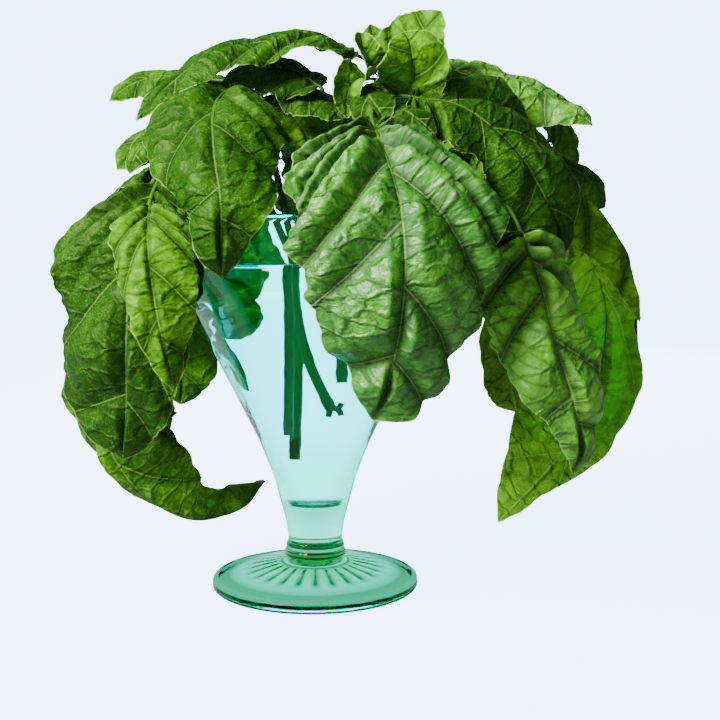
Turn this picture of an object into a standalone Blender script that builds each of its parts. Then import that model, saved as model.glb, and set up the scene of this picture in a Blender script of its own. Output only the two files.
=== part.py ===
"""A bunch of large-leaved basil standing in a footed glass vase of water.

Metres, +Z up. The origin is the centre of the foot's flat underside. The front is -Y.
Lengths are named in millimetres and turned into metres where a mesh is made.
"""
import math

import bmesh
import bpy
import numpy as np

MM = 0.001

# ---- driving dimensions, in millimetres ---------------------------------------------

VASE_HEIGHT = 147.0
RIM_RADIUS = 65.0
FOOT_RADIUS = 41.6
FOOT_BAND = 3.8
WALL = 2.6
RAYS = 24
RAY_DEPTH = 0.8
RAY_REACH = (15.0, 31.0)
FOOT_TOP = 9.0
RIM_ROUND = 0.8
CAVITY_FLOOR = 33.6
TURN_SEGMENTS = 2 * RAYS

WATER_LEVEL = 129.5
ABOVE_WATER = 12.0
GAP = 0.35

STEM_RADIUS = 1.7
PETIOLE_RADIUS = 1.1
STALK_TAIL = 3.0
STALK_STEPS = 5
BLADE = 0.8
VEINS = 6
BEND_STEPS = 12
SHARP_ANGLE = 40.0

# The outside of the vase from the foot's rim up: radius and height.
COLLAR_AND_BOWL = (
    (30.0, 5.7), (20.0, 8.1), (13.2, 10.0), (12.4, 13.2), (11.7, 16.8), (10.9, 19.0), (11.6, 25.0),
    (13.5, 33.2), (15.3, 40.0), (17.7, 47.6), (24.1, 63.0), (48.6, 112.0),
)

# Where each leafy stem runs, from its cut end in the water to its top.
CROWN_STEM = ((8, 5, 88), (8, 3, 130), (12, -4, 160), (22, -12, 184), (31, -18, 201))
RIGHT_STEM = ((-6, 1, 54), (-5, 4, 95), (-6, 5.5, 131), (-7.5, 8, 142), (0, 11, 157), (16, 12, 171),
              (40, 12, 183), (72, 10, 185), (90, 4, 170), (95, -2, 150))
LEFT_STEM = ((-8.5, -6, 65), (-8, -7, 98), (-8.5, -7.5, 130), (-13, -10, 142), (-19, -14, 155),
             (-31, -20, 168), (-47, -28, 171), (-56, -33, 161))
MIDDLE_STEM = ((5, 2, 76), (-2, 1, 98), (-5.5, -0.5, 118), (-6.5, -1, 131), (-10, 1, 143),
               (-14, 4, 162), (-19, 3, 182), (-22, 0, 197))

# ---- colours -------------------------------------------------------------------------

GLASS_GREEN = (0.30, 0.80, 0.58, 1.0)
WATER_TINT = (0.75, 0.92, 0.88, 1.0)
LEAF_GREEN = (0.10, 0.28, 0.04, 1.0)


def clear_scene():
    for item in list(bpy.data.objects):
        bpy.data.objects.remove(item, do_unlink=True)


def principled(name, colour, roughness, transmission=0.0):
    material = bpy.data.materials.new(name)
    material.use_nodes = True
    shader = material.node_tree.nodes["Principled BSDF"]
    shader.inputs["Base Color"].default_value = colour
    shader.inputs["Roughness"].default_value = roughness
    shader.inputs["Metallic"].default_value = 0.0
    shader.inputs["Transmission Weight"].default_value = transmission
    return material


def make_object(name, points, faces, material):
    """An object from points in millimetres, its faces turned outward."""
    mesh = bpy.data.meshes.new(name)
    mesh.from_pydata([tuple(float(c) * MM for c in p) for p in points], [], faces)
    body = bmesh.new()
    body.from_mesh(mesh)
    bmesh.ops.recalc_face_normals(body, faces=body.faces)
    body.to_mesh(mesh)
    body.free()
    mesh.materials.append(material)
    mesh.shade_smooth()
    mesh.set_sharp_from_angle(angle=math.radians(SHARP_ANGLE))
    item = bpy.data.objects.new(name, mesh)
    bpy.context.scene.collection.objects.link(item)
    return item


# ---- turned pieces: the vase and the water -------------------------------------------


def turned(profile, segments, lift=None):
    """A solid turned round Z. The profile runs from the lower axis point to the upper one.

    lift(radius, height, angle) gives the height of a point, for a surface that isn't round.
    """
    points = [(0.0, 0.0, profile[0][1])]
    for radius, height in profile[1:-1]:
        for k in range(segments):
            angle = 2 * math.pi * k / segments
            level = lift(radius, height, angle) if lift else height
            points.append((radius * math.cos(angle), radius * math.sin(angle), level))
    points.append((0.0, 0.0, profile[-1][1]))
    faces = []
    rings = len(profile) - 2
    for k in range(segments):
        after = (k + 1) % segments
        faces.append((0, 1 + after, 1 + k))
        for ring in range(rings - 1):
            low = 1 + ring * segments
            high = low + segments
            faces.append((low + k, low + after, high + after, high + k))
        top = 1 + (rings - 1) * segments
        faces.append((top + k, top + after, len(points) - 1))
    return points, faces


def bowl_radius(height):
    """Outer radius of the straight bowl above the knee."""
    knee, shoulder = COLLAR_AND_BOWL[-2], COLLAR_AND_BOWL[-1]
    slope = (shoulder[0] - knee[0]) / (shoulder[1] - knee[1])
    return knee[0] + (height - knee[1]) * slope


def inner_profile(top):
    """Inside of the vase from the cavity's floor up to a height."""
    return [(5.0, CAVITY_FLOOR + 0.3), (9.0, CAVITY_FLOOR + 2.2), (11.4, 41.0), (14.4, 48.6),
            (bowl_radius(63.0) - WALL, 63.0), (bowl_radius(top) - WALL, top)]


def foot_rays(radius, height, angle):
    """Pressed rays: grooves between the collar and the plain band of the foot."""
    on_foot = height < FOOT_TOP and RAY_REACH[0] < radius < RAY_REACH[1]
    groove = RAY_DEPTH * (0.5 + 0.5 * math.cos(RAYS * angle))
    return height - groove if on_foot else height


def vase(material):
    profile = [(0.0, 0.0), (FOOT_RADIUS, 0.0), (FOOT_RADIUS, FOOT_BAND),
               (FOOT_RADIUS - 1.0, FOOT_BAND + 0.5)]
    profile += COLLAR_AND_BOWL
    profile += [(RIM_RADIUS, VASE_HEIGHT - RIM_ROUND), (RIM_RADIUS - RIM_ROUND, VASE_HEIGHT),
                (RIM_RADIUS - WALL + RIM_ROUND, VASE_HEIGHT)]
    profile += inner_profile(VASE_HEIGHT - RIM_ROUND)[::-1]
    profile.append((0.0, CAVITY_FLOOR))
    points, faces = turned(profile, TURN_SEGMENTS, foot_rays)
    return make_object("vase", points, faces, material)


def water(material, stems):
    """The water fills the vase to its level, with a plain hole round each stem."""
    profile = [(0.0, CAVITY_FLOOR + GAP)]
    profile += [(radius - GAP, height + GAP) for radius, height in inner_profile(WATER_LEVEL - GAP)]
    profile.append((0.0, WATER_LEVEL))
    points, faces = turned(profile, TURN_SEGMENTS)
    body = make_object("water", points, faces, material)
    holes = bpy.data.collections.new("stem holes")
    for route in stems:
        line = smooth_line(route)
        line = line[line[:, 2] < WATER_LEVEL + ABOVE_WATER]
        line = np.vstack([line[0] + unit(line[0] - line[1]) * GAP, line])
        points, faces = tube(line, [STEM_RADIUS + GAP] * len(line), 8)
        hole = make_object("stem hole", points, faces, material)
        bpy.context.scene.collection.objects.unlink(hole)
        holes.objects.link(hole)
    combine(body, holes, "DIFFERENCE", "EXACT")
    return body


# ---- leafy stems ---------------------------------------------------------------------


def smooth_line(route, steps=18):
    """Evenly spaced points along a smooth curve through a route's points."""
    points = np.array(route, float)
    padded = np.vstack([2 * points[0] - points[1], points, 2 * points[-1] - points[-2]])
    f = np.linspace(0.0, 1.0, 20, endpoint=False)[:, None]
    pieces = []
    for k in range(len(points) - 1):
        a, b, c, d = padded[k:k + 4]
        bend = (2 * a - 5 * b + 4 * c - d) * f ** 2 + (3 * b - a - 3 * c + d) * f ** 3
        pieces.append(b + 0.5 * ((c - a) * f + bend))
    dense = np.vstack(pieces + [points[-1:]])
    run = np.concatenate([[0.0], np.cumsum(np.linalg.norm(np.diff(dense, axis=0), axis=1))])
    even = np.linspace(0.0, run[-1], steps + 1)
    return np.stack([np.interp(even, run, dense[:, axis]) for axis in range(3)], axis=-1)


def unit(vectors):
    return vectors / np.maximum(np.linalg.norm(vectors, axis=-1, keepdims=True), 1e-9)


def tube(line, radii, sides, square=0.0):
    """A closed tube along a line of points. Square presses its section towards a square."""
    along = unit(np.gradient(line, axis=0))
    first = np.cross(along[0], (0.3, 1.0, 0.2))
    points = []
    for k, centre in enumerate(line):
        first = unit(first - along[k] * np.dot(first, along[k]))
        second = np.cross(along[k], first)
        for side in range(sides):
            angle = 2 * math.pi * side / sides
            radius = radii[k] * (1.0 - square * math.cos(4 * angle))
            points.append(centre + radius * (first * math.cos(angle) + second * math.sin(angle)))
    faces = [tuple(range(sides))[::-1], tuple(range(len(points) - sides, len(points)))]
    for ring in range(len(line) - 1):
        for side in range(sides):
            a = ring * sides + side
            b = ring * sides + (side + 1) % sides
            faces.append((a, b, b + sides, a + sides))
    return points, faces


class Leaf:
    """One leaf blade: where its midrib runs, how wide it is and how it bends.

    at      how far up its stem the leaf stalk starts, 0 to 1
    midrib  points of the midrib from the base of the blade to its tip
    width   of the blade's two halves; a front leaf that hangs has its first half on the left
    faces   the way the upper side looks, at two or three places from base to tip
    fold    degrees that each half rises from the midrib
    curl    degrees that each half bends on its way to the margin, or (at base, at tip)
    lip     degrees that the outermost part of each half turns up
    full    0 for a half that narrows to the tip, 1 for one that stays broad
    """

    def __init__(self, at, midrib, width, faces, fold=(-6, -6), curl=(-20, -20), lip=(0, 0),
                 full=(0.6, 0.6), wave=3.6, pucker=3.0, veins=VEINS, seed=1):
        self.at = at
        self.line = smooth_line(midrib, 48)
        self.length = float(np.sum(np.linalg.norm(np.diff(self.line, axis=0), axis=1)))
        self.along = unit(np.gradient(self.line, axis=0))
        ways = unit(np.array(faces, float))
        places = np.linspace(0.0, 1.0, len(self.line))
        posts = np.linspace(0.0, 1.0, len(ways))
        hint = np.stack([np.interp(places, posts, ways[:, axis]) for axis in range(3)], axis=-1)
        self.up = unit(hint - self.along * np.sum(hint * self.along, axis=1, keepdims=True))
        self.side = np.cross(self.along, self.up)
        self.width, self.fold, self.curl, self.lip, self.full = width, fold, curl, lip, full
        self.wave, self.pucker, self.veins = wave, pucker, veins
        self.shift = np.random.default_rng(seed).uniform(0.0, 2 * math.pi, 8)

    def pair(self, values, second_half, u):
        """The value of each point's half, which may change from base to tip."""
        ends = [value if isinstance(value, tuple) else (value, value) for value in values]
        first, second = (start + (end - start) * u for start, end in ends)
        return np.where(second_half, second, first)

    def outline(self, t, v):
        """Flat blade: distance along the midrib and out from it, for grid places t and v."""
        second_half = v < 0
        full = self.pair(self.full, second_half, 0.0 * t)
        half = self.pair(self.width, second_half, 0.0 * t)
        r = np.abs(v)
        near, far, end = 3 * (1 - t) ** 2 * t, 3 * (1 - t) * t ** 2, t ** 3
        margin_x = self.length * (-0.08 * near + (0.62 + 0.2 * full) * far + end)
        margin_y = half * (1.5 * near + (0.9 + 0.45 * full) * far)
        sign = np.where(second_half, -1.0, 1.0)
        lobe = 0.03 * np.sin(3.2 * math.pi * t + self.shift[0] + sign)
        lobe = lobe + 0.025 * np.sin(6.6 * math.pi * t + self.shift[1] - 2 * sign)
        scallop = 0.055 * (1 - 1.6 * np.abs(np.cos(math.pi * self.veins * t)))
        margin_y = margin_y * (1 + (lobe + scallop) * r ** 2)
        start = self.length * t ** 1.6
        x = (1 - r) ** 2 * start + 2 * r * (1 - r) * (start + 0.4 * (margin_x - start)) + r ** 2 * margin_x
        y = 2 * r * (1 - r) * 0.6 * margin_y + r ** 2 * margin_y
        return x, y, sign, half

    def relief(self, t, r, x, y, sign):
        """Height of the puckers between the side veins and of the waves of the margin."""
        size = sum(self.width) / 70.0
        ends = np.sin(math.pi * t) ** 0.4
        ridge = 1 - np.abs(np.cos(math.pi * self.veins * t)) ** 1.8
        height = self.pucker * ridge * np.clip(r / 0.3, 0, 1) * (1 - 0.55 * r ** 3)
        wave = np.sin(4.4 * math.pi * t + self.shift[2] + 2.1 * sign)
        wave = wave + 0.45 * np.sin(8.2 * math.pi * t + self.shift[3] - sign)
        height = height + self.wave * r ** 2.2 * wave
        swell = 1.6 * np.sin(x / 17.0 + self.shift[4]) * np.sin(y * sign / 15.0 + self.shift[5]) * r
        return size * (ends * height + swell)

    def surface(self, t, v):
        """Middle of the blade for grid places t, base to tip, and v, from one margin to the other."""
        x, y, sign, half = self.outline(t, v)
        second_half = sign < 0
        u = np.clip(x / self.length, 0.0, 1.0)
        place = u * (len(self.line) - 1)
        k = np.minimum(place.astype(int), len(self.line) - 2)
        f = (place - k)[..., None]
        centre, along, up, side = (a[k] * (1 - f) + a[k + 1] * f
                                   for a in (self.line, self.along, self.up, self.side))
        centre = centre + unit(along) * (x - u * self.length)[..., None]
        fold, curl, lip = (np.radians(self.pair(values, second_half, u))
                           for values in (self.fold, self.curl, self.lip))
        out, rise = 0.0, 0.0
        for step in range(BEND_STEPS):
            q = y / half * (step + 0.5) / BEND_STEPS
            slope = fold + curl * q + lip * np.clip((q - 0.68) / 0.3, 0, 1)
            out = out + np.cos(slope) * y / BEND_STEPS
            rise = rise + np.sin(slope) * y / BEND_STEPS
        q = y / half
        slope = fold + curl * q + lip * np.clip((q - 0.68) / 0.3, 0, 1)
        height = self.relief(t, np.abs(v), x, y, sign)
        out = out - np.sin(slope) * height
        rise = rise + np.cos(slope) * height
        return centre + unit(side) * (sign * out)[..., None] + unit(up) * rise[..., None]

    def solid(self):
        """The blade as a closed sheet, split into triangles alike on its two faces."""
        t_places = np.linspace(0.0, 1.0, 2 * self.veins + 1)
        v_places = np.array((-1.0, -0.55, 0.0, 0.55, 1.0))
        t, v = np.meshgrid(t_places, v_places, indexing="ij")
        middle = self.surface(t, v)
        normal = unit(np.cross(np.gradient(middle, axis=1), np.gradient(middle, axis=0)))
        normal[0] = self.up[0]
        normal[-1] = self.up[-1]
        rows, columns = t.shape
        points, index = [], {}
        for face, offset in enumerate((BLADE / 2, -BLADE / 2)):
            sheet = middle + normal * offset
            for i in range(rows):
                for j in range(columns):
                    pole = i in (0, rows - 1)
                    if pole and j:
                        index[face, i, j] = index[face, i, 0]
                        continue
                    index[face, i, j] = len(points)
                    points.append(sheet[i, j])
        faces = []
        for i in range(rows - 1):
            for j in range(columns - 1):
                first = ((i, j), (i + 1, j), (i + 1, j + 1))
                second = ((i, j), (i + 1, j + 1), (i, j + 1))
                for corners in (first, second):
                    top = [index[0, a, b] for a, b in corners]
                    if len(set(top)) == 3:
                        faces.append(tuple(top))
                        faces.append(tuple(index[1, a, b] for a, b in corners)[::-1])
            for j in (0, columns - 1):
                edge = [index[0, i, j], index[0, i + 1, j], index[1, i + 1, j], index[1, i, j]]
                faces.append(tuple(edge[:3]))
                faces.append((edge[0], edge[2], edge[3]))
        return points, faces

    def stalk(self, stem_line):
        """The leaf stalk: from inside the stem into the base of the midrib."""
        place = self.at * (len(stem_line) - 1)
        k = min(int(place), len(stem_line) - 2)
        root = stem_line[k] + (stem_line[k + 1] - stem_line[k]) * (place - k)
        stem_way = unit(stem_line[k + 1] - stem_line[k])
        base, way = self.line[0], self.along[0]
        reach = np.linalg.norm(base - root)
        first = root + stem_way * reach * 0.3
        second = base - way * reach * 0.35
        f = np.linspace(0.0, 1.0, STALK_STEPS)[:, None]
        line = (1 - f) ** 3 * root + 3 * (1 - f) ** 2 * f * first
        line = line + 3 * (1 - f) * f ** 2 * second + f ** 3 * base
        return np.vstack([line, base + way * STALK_TAIL])


def combine(body, others, operation, solver):
    """Apply one Boolean of a collection to a body, and remove the collection's objects."""
    step = body.modifiers.new(operation.lower(), "BOOLEAN")
    step.operation = operation
    step.operand_type = "COLLECTION"
    step.collection = others
    step.solver = solver
    graph = bpy.context.evaluated_depsgraph_get()
    mesh = bpy.data.meshes.new_from_object(body.evaluated_get(graph))
    body.modifiers.clear()
    body.data = mesh
    mesh.shade_smooth()
    mesh.set_sharp_from_angle(angle=math.radians(SHARP_ANGLE))
    for item in list(others.objects):
        bpy.data.objects.remove(item, do_unlink=True)
    bpy.data.collections.remove(others)


def leafy_stem(name, route, leaves, material):
    """A squarish stem with its leaf stalks and blades, grown as one piece."""
    line = smooth_line(route)
    taper = np.linspace(1.0, 0.75, len(line))
    points, faces = tube(line, STEM_RADIUS * taper, 8, square=0.06)
    stem = make_object(name, points, faces, material)
    parts = bpy.data.collections.new(name + " parts")
    for leaf in leaves:
        stalk = leaf.stalk(line)
        thickness = min(1.0, sum(leaf.width) / 40.0 + 0.3)
        radii = PETIOLE_RADIUS * thickness * np.linspace(1.0, 0.6, len(stalk))
        for points, faces in (leaf.solid(), tube(stalk, radii, 5)):
            piece = make_object("piece", points, faces, material)
            bpy.context.scene.collection.objects.unlink(piece)
            parts.objects.link(piece)
    combine(stem, parts, "UNION", "MANIFOLD")
    return stem


def crown_leaves():
    """The stem that ends in the tall tuft, with the broad front leaf and the arching one."""
    small = {"veins": 4, "pucker": 1.6, "wave": 2.4}
    return [
        # the long leaf that arches over to the left
        Leaf(0.97, ((16, -14, 209), (6, -16, 213), (-5, -17, 215), (-18, -18, 213), (-38, -22, 207),
                    (-52, -26, 196), (-65, -30, 182)),
             (16, 17), ((0, -0.2, 0.98), (-0.1, -0.5, 0.85)), fold=(-4, -8), curl=(-15, -22),
             full=(0.3, 0.3), seed=3),
        # the broad leaf that hangs in front
        Leaf(0.80, ((21, -58, 176), (25, -74, 162), (28, -84, 147), (29, -88, 129), (28, -86, 112),
                    (25, -78, 93), (20, -68, 77)),
             (39, 33), ((0, -0.75, 0.66), (0, -1, 0.1), (0, -0.97, -0.2)), fold=(-4, -10),
             curl=(-20, -32), full=(0.35, 1.0), wave=2.8, veins=8, seed=5),
        # the dark leaf to the right, its near margin turned up
        Leaf(0.88, ((36, -30, 191), (54, -34, 187), (72, -36, 173), (85, -36, 153), (92, -32, 131)),
             (27, 25), ((0.1, -0.75, 0.66), (0.35, -0.8, 0.45), (0.4, -0.85, 0.2)), fold=(-4, -6),
             lip=(120, 0), full=(0.8, 0.8), seed=7),
        # the glossy leaf below it, on a long side shoot
        Leaf(0.76, ((74, -47, 141), (80, -54, 121), (85, -58, 100), (92, -56, 80), (95, -50, 64),
                    (94, -46, 53)),
             (30, 22), ((0.1, -0.8, 0.6), (0.2, -1, 0.1), (0.1, -1, -0.1)), fold=(-6, -12),
             curl=(-25, -50), full=(-0.5, 0.2), seed=27),
        Leaf(0.93, ((45, -4, 201), (64, 0, 207), (84, 0, 201), (97, -4, 193), (109, -8, 184)),
             (24, 20), ((0, -0.5, 0.87), (0.3, -0.7, 0.64)), fold=(-10, -15), curl=(-30, -40), seed=9),
        Leaf(0.85, ((28, 4, 200), (30, 26, 199), (27, 46, 193), (20, 64, 179)),
             (20, 20), ((0, 0, 1), (0, 0.5, 0.87)), curl=(-25, -25), seed=71),
        Leaf(0.90, ((48, 24, 201), (56, 34, 206), (63, 43, 203), (69, 52, 193)),
             (15, 15), ((0, 0, 1), (0.3, 0.6, 0.7)), fold=(-8, -8), curl=(-30, -30), veins=5, seed=73),
        # the tuft of young leaves
        Leaf(0.98, ((31, -16, 203), (37, -14, 212), (44, -12, 220), (49, -12, 226)),
             (13, 13), ((-0.3, -0.9, 0.2),) * 2, fold=(10, 10), curl=(10, 10), seed=11, **small),
        Leaf(0.96, ((34, -25, 192), (36, -30, 197), (36, -34, 205), (33, -33, 214)),
             (12, 13), ((0.1, -1, 0.1), (0.1, -0.95, 0.3)), fold=(12, 12), curl=(10, 10),
             full=(1.2, 1.2), seed=13, **small),
        Leaf(0.97, ((23, -22, 201), (20, -24, 206), (18, -24, 211), (17, -22, 216)),
             (7, 7), ((0.3, -0.9, 0.2),) * 2, fold=(30, 30), curl=(30, 30), seed=15, **small),
        Leaf(0.94, ((20, -26, 198), (15, -31, 196), (12, -34, 190), (12, -36, 182)),
             (9, 9), ((-0.3, -0.6, 0.8), (0.2, -0.9, 0.2)), fold=(20, 20), curl=(50, 50), seed=17,
             **small),
        Leaf(0.99, ((27, -10, 206), (25, -5, 212), (23, -3, 218), (22, -3, 223)),
             (8, 8), ((0.2, -0.9, 0.3),) * 2, fold=(15, 15), curl=(15, 15), seed=19, **small),
        Leaf(0.90, ((19, -32, 194), (20, -38, 190), (23, -42, 185), (26, -44, 179)),
             (9, 9), ((0, -0.5, 0.87), (-0.4, -0.9, 0.2)), fold=(-5, -5), curl=(-30, -30),
             seed=21, **small),
        Leaf(0.88, ((29, -38, 186), (33, -43, 184), (38, -46, 180), (43, -47, 175)),
             (8, 8), ((0, -0.5, 0.87), (0.2, -0.9, 0.3)), fold=(-10, -10), seed=23, **small),
    ]


def right_leaves():
    """The stem that leans out to the right, its leaves hanging round its end."""
    return [
        # the outermost leaf, folded over its midrib
        Leaf(0.88, ((93, 2, 169), (105, -2, 160), (116, -4, 148), (125, -6, 131), (131, -4, 107)),
             (16, 24), ((0.3, -0.4, 0.87), (0.8, -0.35, 0.4), (0.97, -0.2, 0)), fold=(-45, -40),
             curl=(-30, -30), full=(0.7, 0.7), seed=25),
        # the long leaf behind it, whose tip sweeps back under
        Leaf(0.93, ((108, 36, 146), (120, 32, 131), (124, 24, 111), (121, 16, 91), (115, 8, 72),
                    (101, 0, 54), (87, -6, 40), (73, -10, 27)),
             (17, 29), ((0.5, 0.6, 0.6), (0.5, 0.85, -0.1), (0.3, 0.6, -0.7)), fold=(-10, -15),
             full=(0.9, 0.9), seed=29),
        Leaf(0.97, ((91, -14, 131), (81, -18, 115), (74, -20, 97), (79, -16, 72)),
             (18, 17), ((-0.3, 0.9, 0.3), (-0.3, 0.9, 0.1)), fold=(-8, -8), full=(1, 1), seed=31),
        Leaf(0.78, ((94, 22, 197), (104, 28, 190), (110, 32, 182), (113, 34, 170)),
             (15, 13), ((0.3, -0.5, 0.8), (0.6, -0.7, 0.3)), fold=(-10, -10), curl=(-30, -30),
             veins=4, seed=33),
        Leaf(0.82, ((94, 10, 173), (104, 12, 170), (113, 12, 164), (120, 13, 153)),
             (13, 13), ((0.2, -0.7, 0.7), (0.5, -0.8, 0.3)), fold=(-10, -10), curl=(-40, -40),
             full=(1.3, 1.3), veins=4, seed=35),
        # two leaves of the back
        Leaf(0.60, ((50, 28, 188), (62, 50, 180), (72, 66, 152), (74, 70, 104)),
             (25, 25), ((0.3, 0.4, 0.87), (0.6, 0.78, 0.15), (0.6, 0.8, 0)), fold=(-8, -8),
             curl=(-35, -35), full=(0.8, 0.8), seed=65),
        Leaf(0.80, ((92, 36, 168), (104, 54, 152), (110, 64, 122), (106, 62, 88)),
             (20, 22), ((0.4, 0.6, 0.7), (0.8, 0.6, 0.1), (0.8, 0.6, -0.1)), fold=(-10, -10),
             curl=(-30, -30), seed=67),
    ]


def left_leaves():
    """The stem that bends low over the rim to the left."""
    small = {"veins": 4, "pucker": 1.6, "wave": 2.4}
    return [
        # the large leaf that hangs at the left
        Leaf(0.99, ((-57, -34, 158), (-62, -48, 142), (-64, -56, 121), (-65, -58, 102), (-66, -54, 82),
                    (-69, -46, 60)),
             (36, 22), ((0, -0.7, 0.7), (-0.2, -1, 0.1), (0, -0.97, -0.2)), fold=(-14, 6), curl=(-35, 0),
             full=(1.2, 1.2), veins=7, seed=37),
        # the lighter one in front of it
        Leaf(0.97, ((-58, -46, 150), (-56, -66, 136), (-53, -75, 120), (-50, -76, 104), (-47, -71, 87)),
             (12, 16), ((0.1, -0.8, 0.6), (0.2, -1, 0.05), (0.2, -1, 0)), fold=(-6, -2), curl=(-30, -14),
             full=(0.5, 0.5), seed=39),
        # the leaf behind both, which curls under towards the vase
        Leaf(0.90, ((-75, -20, 105), (-81, -20, 82), (-80, -18, 62), (-68, -14, 41), (-49, -10, 29),
                    (-30, -8, 33), (-19.5, -6, 44)),
             (28, 26), ((-0.3, -0.95, 0.1), (-0.3, -0.9, -0.4), (0, -0.5, -0.87)),
             fold=((-10, -80), (-10, -5)), curl=(-25, -25), full=(1, 1), seed=41),
        Leaf(0.86, ((-68, 38, 130), (-64, 41, 110), (-58, 41, 89), (-58, 36, 69)),
             (18, 20), ((0.2, -0.9, 0.3), (0.2, -0.9, 0.1)), fold=(-8, -8), curl=(-30, -30), full=(1, 1),
             seed=43),
        Leaf(0.84, ((-52, -4, 170), (-74, 16, 158), (-88, 28, 126), (-88, 32, 88)),
             (24, 24), ((-0.5, 0.3, 0.8), (-0.85, 0.5, 0.15), (-0.85, 0.5, -0.1)), fold=(-10, -10),
             curl=(-30, -30), full=(0.7, 0.7), seed=69),
        Leaf(0.90, ((-52, -12, 180), (-59, -14, 178), (-66, -16, 174), (-74, -18, 165)),
             (11, 12), ((-0.2, -0.7, 0.7), (-0.5, -0.8, 0.2)), fold=(-5, -5), seed=55, **small),
        Leaf(0.93, ((-54, -22, 176), (-60, -24, 175), (-65, -26, 171), (-68, -27, 163)),
             (7, 8), ((-0.2, -0.7, 0.7), (-0.5, -0.8, 0.2)), fold=(-5, -5), seed=57, **small),
    ]


def middle_leaves():
    """The stem that ends in the left crown, with the puckered front leaf."""
    small = {"veins": 4, "pucker": 1.6, "wave": 2.4}
    return [
        # the puckered leaf in front
        Leaf(0.93, ((-31, -24, 195), (-35, -46, 185), (-34, -62, 169), (-31, -71, 151), (-31, -69, 135),
                    (-31, -64, 124)),
             (28, 28), ((0, -0.6, 0.8), (0, -1, 0.1), (0, -0.95, -0.2)), fold=(-10, -8),
             curl=((-35, -70), (-45, -30)), full=(0.2, 0.25), seed=45),
        # the crown
        Leaf(0.97, ((2, -22, 196), (-7, -18, 202), (-18, -14, 204), (-28, -12, 202), (-35, -12, 198)),
             (12, 13), ((0, -0.5, 0.87), (-0.2, -0.7, 0.6)), fold=(-5, -10), curl=(-30, -30),
             seed=47, **small),
        Leaf(0.98, ((-11, -14, 195), (-3, -18, 194), (5, -22, 189), (11, -24, 183)),
             (12, 14), ((0, -0.5, 0.87), (0.3, -0.7, 0.6)), fold=(-5, -10), curl=(-30, -30),
             seed=48, **small),
        Leaf(0.95, ((-18, -8, 193), (-11, -10, 189), (-4, -14, 181), (-1, -20, 169)),
             (18, 18), ((0.2, -0.8, 0.5), (0.2, -0.9, 0.2)), fold=(-5, -5), seed=49, **small),
        Leaf(0.92, ((-37, -16, 188), (-44, -18, 189), (-51, -20, 187), (-58, -22, 181)),
             (16, 15), ((0, -0.6, 0.8), (-0.3, -0.8, 0.4)), fold=(-5, -10), curl=(-20, -30),
             seed=51, **small),
        Leaf(0.97, ((-50, 6, 203), (-61, 8, 204), (-72, 8, 201), (-81, 6, 194)),
             (9, 9), ((0, -0.6, 0.8), (-0.2, -0.8, 0.5)), fold=(-5, -5), seed=53, **small),
        # two leaves of the back
        Leaf(0.88, ((-24, 18, 190), (-37, 46, 182), (-45, 60, 162), (-43, 63, 144), (-36, 60, 131),
                    (-26, 56, 118), (-20, 53, 106)),
             (19, 17), ((-0.3, 0.4, 0.87), (-0.2, 0.95, 0.15), (-0.1, 0.95, -0.3)), fold=(0, -10),
             curl=(0, -20), full=(2.0, 1.2), seed=61),
        Leaf(0.95, ((4, 20, 192), (10, 50, 184), (14, 76, 156), (15, 84, 110)),
             (28, 28), ((0, 0.5, 0.87), (0, 0.95, 0.3), (0, 1, 0)), fold=(-8, -8), curl=(-35, -35),
             full=(0.8, 0.8), seed=63),
        Leaf(0.97, ((-30, 8, 200), (-40, 19, 204), (-51, 29, 200), (-61, 36, 187)),
             (17, 17), ((0, 0.2, 1), (-0.5, 0.5, 0.7)), fold=(-8, -8), curl=(-30, -30), veins=5, seed=75),
    ]


clear_scene()
glass = principled("pale green glass", GLASS_GREEN, 0.05, transmission=1.0)
clear_water = principled("water", WATER_TINT, 0.02, transmission=1.0)
basil = principled("basil", LEAF_GREEN, 0.45)
vase(glass)
water(clear_water, (CROWN_STEM, RIGHT_STEM, LEFT_STEM, MIDDLE_STEM))
leafy_stem("crown_stem", CROWN_STEM, crown_leaves(), basil)
leafy_stem("right_stem", RIGHT_STEM, right_leaves(), basil)
leafy_stem("left_stem", LEFT_STEM, left_leaves(), basil)
leafy_stem("middle_stem", MIDDLE_STEM, middle_leaves(), basil)
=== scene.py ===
"""How a bunch of large-leaved basil in a footed glass vase of water looks."""
import math
from functools import partial

import bpy
import numpy as np
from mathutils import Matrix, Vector


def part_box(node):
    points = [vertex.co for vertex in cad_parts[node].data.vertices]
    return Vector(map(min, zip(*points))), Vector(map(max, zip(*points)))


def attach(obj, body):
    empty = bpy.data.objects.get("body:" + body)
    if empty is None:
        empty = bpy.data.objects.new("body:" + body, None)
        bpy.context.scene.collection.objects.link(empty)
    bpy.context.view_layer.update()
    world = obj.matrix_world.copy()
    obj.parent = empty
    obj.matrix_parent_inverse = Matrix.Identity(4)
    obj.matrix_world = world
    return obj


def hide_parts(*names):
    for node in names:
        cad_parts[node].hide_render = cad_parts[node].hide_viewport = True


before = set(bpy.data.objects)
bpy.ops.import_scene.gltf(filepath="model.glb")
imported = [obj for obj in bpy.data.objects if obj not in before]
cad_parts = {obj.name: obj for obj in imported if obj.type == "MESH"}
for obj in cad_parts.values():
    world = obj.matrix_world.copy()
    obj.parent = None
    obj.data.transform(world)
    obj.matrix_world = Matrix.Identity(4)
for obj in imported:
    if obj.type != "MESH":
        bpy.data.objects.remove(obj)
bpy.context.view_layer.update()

# ---- the vase ------------------------------------------------------------------------
# One piece of pale green glass, pressed in a mould: a heavy round foot with a fan of
# flutes, a collar of two beads, a solid neck and a straight V-shaped bowl. The lengths
# of this script are in millimetres until a mesh is made.

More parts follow.
